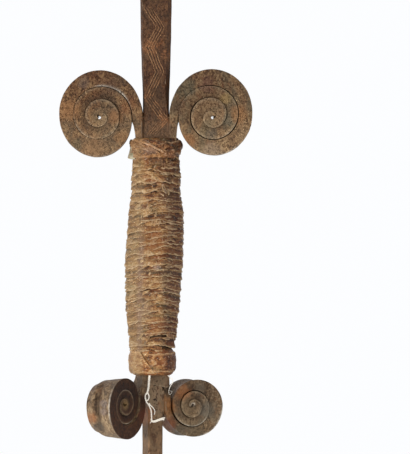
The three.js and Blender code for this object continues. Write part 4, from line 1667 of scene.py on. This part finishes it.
def knob_point(share):
    swell = 1 + 0.1 * ripple(share, 0.5, 4)
    rolled_in = 1 - 0.25 * rise(-share.z, 0, 1)
    return Vector([middle + half * part * swell for middle, half, part in zip(
        knob_middle, knob_half, (share.x * rolled_in, share.y, share.z))])


shape(knob, knob_point)
write_wear_and_light(knob, [(0.25 + 0.3 * ripple(vertex.co / MM, 3, 6), 0, 0.1)
                  for vertex in knob.data.vertices])
smooth_below(knob, 50)
upper_collar = join(
    [upper_tube, under_band, over_band, back_band, fold, low_fold, knob], "bound_upper_collar")
dress(upper_collar, upper_hide, "collar_hide", "upper_collar")

# %% [markdown]
# The lower collar is smoother. Its left band is as broad as the collar and ends in a cut
# that slants down to the right across the front.

# %% Bind the lower collar
lower_tube = collar_tube("lower_collar_tube", collars["lower"], on_lower_collar, 21)
broad_band = collar_band(
    "lower_broad_band", on_lower_collar, -268, -104, lambda t: -52.6, lambda t: 5.6, 0.7, 0.75, 25,
    cut=lambda across: -20 * across, crumple=0.5)
right_band = collar_band(
    "lower_right_band", on_lower_collar, -112, 60, lambda t: lerp(-53.2, -52, t),
    lambda t: 4.6, 0.35, 0.35, 29)
lower_collar = join([lower_tube, broad_band, right_band], "bound_lower_collar")
dress(lower_collar, lower_hide, "collar_hide", "lower_collar")

# %% [markdown]
# ## Forge welds
#
# The scrolls' shanks were welded to the bar in the fire. Near the collars the hammer has
# closed the joints, so a thin skin of iron runs over them. Above the upper collar a narrow
# strip covers each joint. Below the lower collar a broader lap with a slanted lower edge
# covers the bar and the right shank, and a narrow strip goes on down their joint.

# %% Shape the welds
upper_weld_low, upper_weld_high = 58.6, 69.6
weld_skin = 0.4


def upper_weld(along, across, side, face):
    """across is -1 on the bar and 1 on the shank."""
    height = lerp(upper_weld_low, upper_weld_high, along)
    spread = root_depth_share * rise(height, upper_collar_top, scroll_root)
    half_depth = scrolls["upper_right_scroll"]["half_depth"]
    shank_face = lerp(shanks["upper"]["half_depth"], half_depth, spread)
    through = lerp(root_half_depth - 0.15, shank_face + 0.08, rise(across, -1, 0.4))
    through -= 0.35 * rise(across, 0.5, 1) + 0.9 * rise(height, 66, upper_weld_high)
    right = side * (root_half_width + seat / 2 + 1.2 * across)
    through += 0.12 * ripple((right, height, 0), 1.5, 51)
    return on_core(right, face * through, height), (0, 0, 0)


def lower_weld(along, across):
    height = lerp(-58.4, lerp(-63.2, -65.8, (across + 1) / 2), along)
    right = lerp(-4.7, 7, (across + 1) / 2)
    through = shaft_half + 0.3 + 0.35 * rise(abs(right), 3.2, 4.6)
    through -= 0.5 * rise(abs(across), 0.9, 1)
    through += 0.15 * ripple((right, height, 0), 2, 53)
    # Its slanted lower edge gets the scrolls' rubbed and lit rim colour.
    return on_core(right, -through, height), (0, 0.5 * rise(along, 0.9, 1), 0)


def side_weld(along, across):
    """The joint between the bar and the lower right shank. across is -1 on the bar."""
    height = lerp(-66, -78.6, along)
    shank_face = lerp(4.5, 5.4, rise(-height, 64, 78))
    through = lerp(shaft_half + 0.18, shank_face + 0.1, rise(across, -0.6, 0.6))
    through -= 1.4 * (rise(along, 0.86, 1) + rise(-along, -0.1, 0))
    through -= 0.3 * rise(abs(across), 0.85, 1)
    right = 4.3 + 1.15 * across + 0.5 * rise(-height, 74.3, 79)
    through += 0.15 * ripple((right, height, 0), 1.6, 57)
    return on_core(right, -through, height), (0, 0, 0)


print(f"the upper welds are {upper_weld_high - upper_weld_low:.0f} mm long")

# %% [markdown]
# There are four upper welds, at both sides of the bar, in front and at the back. The other
# two lie in front.

# %% Close the joints
welds = [
    wound_strip("lower_weld", 24, 24, lower_weld, weld_skin),
    wound_strip("side_weld", 32, 8, side_weld, weld_skin),
]
for side in (-1, 1):
    for face in (-1, 1):
        welds.append(wound_strip(
            "upper_weld", 24, 8, lambda along, across: upper_weld(along, across, side, face),
            weld_skin))
dress(join(welds, "forge_welds"), blade_iron, "forged_iron")

# %% [markdown]
# ## The loose end
#
# At the lower left of the upper collar the end of a strip stands off. It is thin and
# pale, and its lower edge curls outwards.


# %% Shape the loose end
def loose_end(along, across):
    angle = lerp(3.02, 3.56 - 0.06 * across, along)
    height = 52.4 + across * 2.9 + 0.5 * ripple((along * 6, across, 0), 2, 31) - 0.9 * along
    curl = 1.1 * rise(-across, -0.6, 1) * (1 - rise(along, 0.5, 0.9))
    stand = 0.7 + curl - 1.2 * rise(along, 0.75, 1)
    radius = box_radius(collars["upper"]["half"], round_power, angle) + stand
    radius += 0.2 * ripple((along * 5, across * 3, 3), 1.5)
    point = Vector((radius * math.cos(angle), radius * math.sin(angle), height))
    shade = 0.5 + 0.7 * ripple((along * 6, across * 3, 0), 2, 33) - 0.25 * across
    return point, (shade, rise(-across, 0.7, 1) * 0.5, 0)


flap = wound_strip("pale_loose_end", 24, 8, loose_end, 0.35)
dress(flap, pale_hide, "wrap_hide", "loose_strip_end")

# %% [markdown]
# ## Cotton string
#
# A thin white string that once held a label is tied round the neck of the shaft. It is two
# threads twisted together. Its route is the CAD model's, moved a little where it crosses
# the side of the shaft and where it hangs as a hook at the right. It is thick where it
# starts and thinnest in the hook. Each thread is a curve that winds round the route,
# which no single curve with a bevel can show. Three short strands more lie at the front.

# %% Write down the string's route
ring_middle, ring_half, ring_depth = (-5.9, -69.85), (1.05, 1.8), -6.5
ring_stand, ring_lean = 0.22, 0.1  # each point lies further forwards and to the left
ring_steps, ring_points = 8, 12  # steps in a whole turn, and points in all


def ring_point(number):
    angle = math.pi / 2 + number * 2 * math.pi / ring_steps
    return (ring_middle[0] + ring_half[0] * math.cos(angle) - ring_lean * number,
            ring_depth - ring_stand * number, ring_middle[1] + ring_half[1] * math.sin(angle))


string_route = [
    (-3.9, -5.3, -57.8), (-4, -5.3, -59.5), (-4.4, -5.4, -62.3), (-4.9, -5.9, -65.5),
    *(ring_point(number) for number in range(ring_points)),
    (-7.1, -8.6, -72.5), (-5.8, -7.6, -73.5), (-5, -6.9, -74.3), (-3.4, -5.6, -76.6),
    (-2.9, -5.1, -78.7), (-2.7, -5, -81.2), (-2.2, -5, -82), (-0.9, -5, -81.9),
    (0.7, -5, -81.4), (2.4, -5, -80.9), (3.3, -5, -80.7), (4.1, -4.9, -80.6),
    (4.65, -4.2, -80.6), (4.8, -2, -80.9), (4.8, 2, -81.2), (4.85, 5.5, -81.4),
    (5.2, 7.9, -80.5), (6.5, 8.1, -76), (8, 8.1, -70), (8.4, 7.6, -67.9), (8.5, 5, -67.3),
    (8.5, 0, -67.3), (8.5, -4.6, -67.4), (8, -5.4, -68.2), (7.2, -5.6, -68.9),
    (6.6, -5.7, -68.8), (6.35, -5.8, -67.4), (6.65, -5.9, -65.8), (7.3, -5.95, -64.5),
    (8.3, -5.95, -63.1), (8.5, -5.95, -62.1), (7.9, -5.9, -61.2), (6.9, -5.7, -60.4),
    (6, -5.3, -59.2), (5.2, -5.3, -57.8),
]
string_thickness = [
    # share of the route, thickness
    (0, 1.3), (0.08, 1.05), (0.1, 0.6), (0.27, 0.6), (0.3, 0.75), (0.5, 0.75), (0.72, 0.5),
    (0.77, 0.16), (0.83, 0.16), (0.87, 0.42), (1, 0.5),
]
second_strand = [
    (-5, -7.2, -73.2), (-3.9, -5.7, -74), (-2, -5, -75.4), (-0.85, -4.7, -77.2), (-1.15, -4.5, -79),
]
loose_tail = [(-2.7, -5.1, -81.4), (-3.1, -5, -82.4), (-3.6, -4.8, -83.4)]
band_strand = [
    (-3, -5, -81), (-2.6, -5, -82.3), (-0.9, -4.9, -82.5), (0.7, -4.9, -82), (2.4, -4.9, -81.5),
    (3.4, -4.9, -81.3), (4.2, -4.9, -81.6),
]
print(f"the route has {len(string_route)} points")

# %% [markdown]
# The route is smoothed by a curve that passes through all of its points. A thread is a
# curve with a round bevel, turned into a mesh so that it can be joined and exported.

# %% Smooth a route and run a thread along it
samples_per_span = 10
full_radius = 0.5


def smooth_route(points):
    """Closely spaced points on a smooth curve through the route."""
    dense = []
    for i in range(len(points) - 1):
        a, b, c, d = (points[clamp(k, 0, len(points) - 1)] for k in range(i - 1, i + 3))
        for step in range(samples_per_span):
            f = step / samples_per_span
            dense.append(b + 0.5 * f * (c - a + f * (
                2 * a - 5 * b + 4 * c - d + f * (3 * (b - c) + d - a))))
    dense.append(points[-1])
    return dense


def thread(name, points, thicknesses):
    """A round thread along closely spaced points, as a mesh."""
    curve = bpy.data.curves.new(name, "CURVE")
    curve.dimensions = "3D"
    curve.bevel_depth = full_radius * MM
    curve.bevel_resolution = 1
    curve.use_fill_caps = True
    spline = curve.splines.new("POLY")
    spline.points.add(len(points) - 1)
    for target, point, thickness in zip(spline.points, points, thicknesses):
        target.co = (*(point * MM), 1)
        target.radius = thickness
    strand = bpy.data.objects.new(name, curve)
    bpy.context.collection.objects.link(strand)
    clear_selection()
    strand.select_set(True)
    bpy.context.view_layer.objects.active = strand
    bpy.ops.object.convert(target="MESH")
    bpy.ops.object.shade_smooth()
    return bpy.context.object


print("points on the smooth route:", samples_per_span * (len(string_route) - 1) + 1)

# %% [markdown]
# The two threads wind round the route on opposite sides of it. Their offset turns with
# the length that has been travelled, and is kept square to the route at each step.

# %% Twist the string
twist_length = 2.2
thread_share = 0.56  # of the string's thickness, for one thread
thread_offset = 0.23  # of it again, from the route to a thread's middle


def twisted(name, route, thickness_steps):
    """Two threads wound round a route that is given on the core."""
    dense = smooth_route([on_core(*point) for point in route])
    side = Vector((0, 1, 0))
    travelled = 0
    paths = ([], [])
    thicknesses = []
    for number, here in enumerate(dense[:-1]):
        step = dense[number + 1] - here
        heading = step.normalized()
        side = (side - heading * side.dot(heading)).normalized()
        other = heading.cross(side)
        travelled += step.length
        thickness = read(thickness_steps, number / len(dense), 1)
        thicknesses.append(thickness * thread_share)
        for half_turn, path in enumerate(paths):
            angle = 2 * math.pi * travelled / twist_length + half_turn * math.pi
            offset = side * math.cos(angle) + other * math.sin(angle)
            path.append(here + offset * thickness * thread_offset)
    print(f"{name}: {travelled:.0f} mm long")
    return join([thread(name, path, thicknesses) for path in paths], name)


string = join([
    twisted("label_string_main", string_route, string_thickness),
    twisted("label_string_band", band_strand, [(0, 0.7), (1, 0.7)]),
    twisted("label_string_second", second_strand, [(0, 0.7), (1, 0.35)]),
    twisted("label_string_tail", loose_tail, [(0, 0.5), (1, 0.2)]),
], "label_string_main")

# %% [markdown]
# Cotton lets light through, and so thin a string would look grey at this size. A slight glow of its
# own, which is painted light, keeps it as white as in the photograph.

# %% Finish the string
cotton = Finish("cotton", 0.9)
fluff = cotton.noise(2600, 3, 0.7)
cotton.set("Base Color", cotton.ramp(
    fluff, (0.25, srgb(206, 196, 176)), (0.5, srgb(240, 232, 218)), (0.8, srgb(252, 248, 240))))
cotton.set("Emission Color", srgb(255, 248, 236))
cotton.set("Emission Strength", 0.3)
cotton.relief(fluff, 0.12)
dress(string, cotton.material, "cotton_string", "label_string")

# %% Measure and finish
low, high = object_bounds()
print("visual box, mm:", [round(value / MM, 1) for value in (*low, *high)])
print("CAD box, mm:   ", [round(value / MM, 1) for value in (*cad_low, *cad_high)])
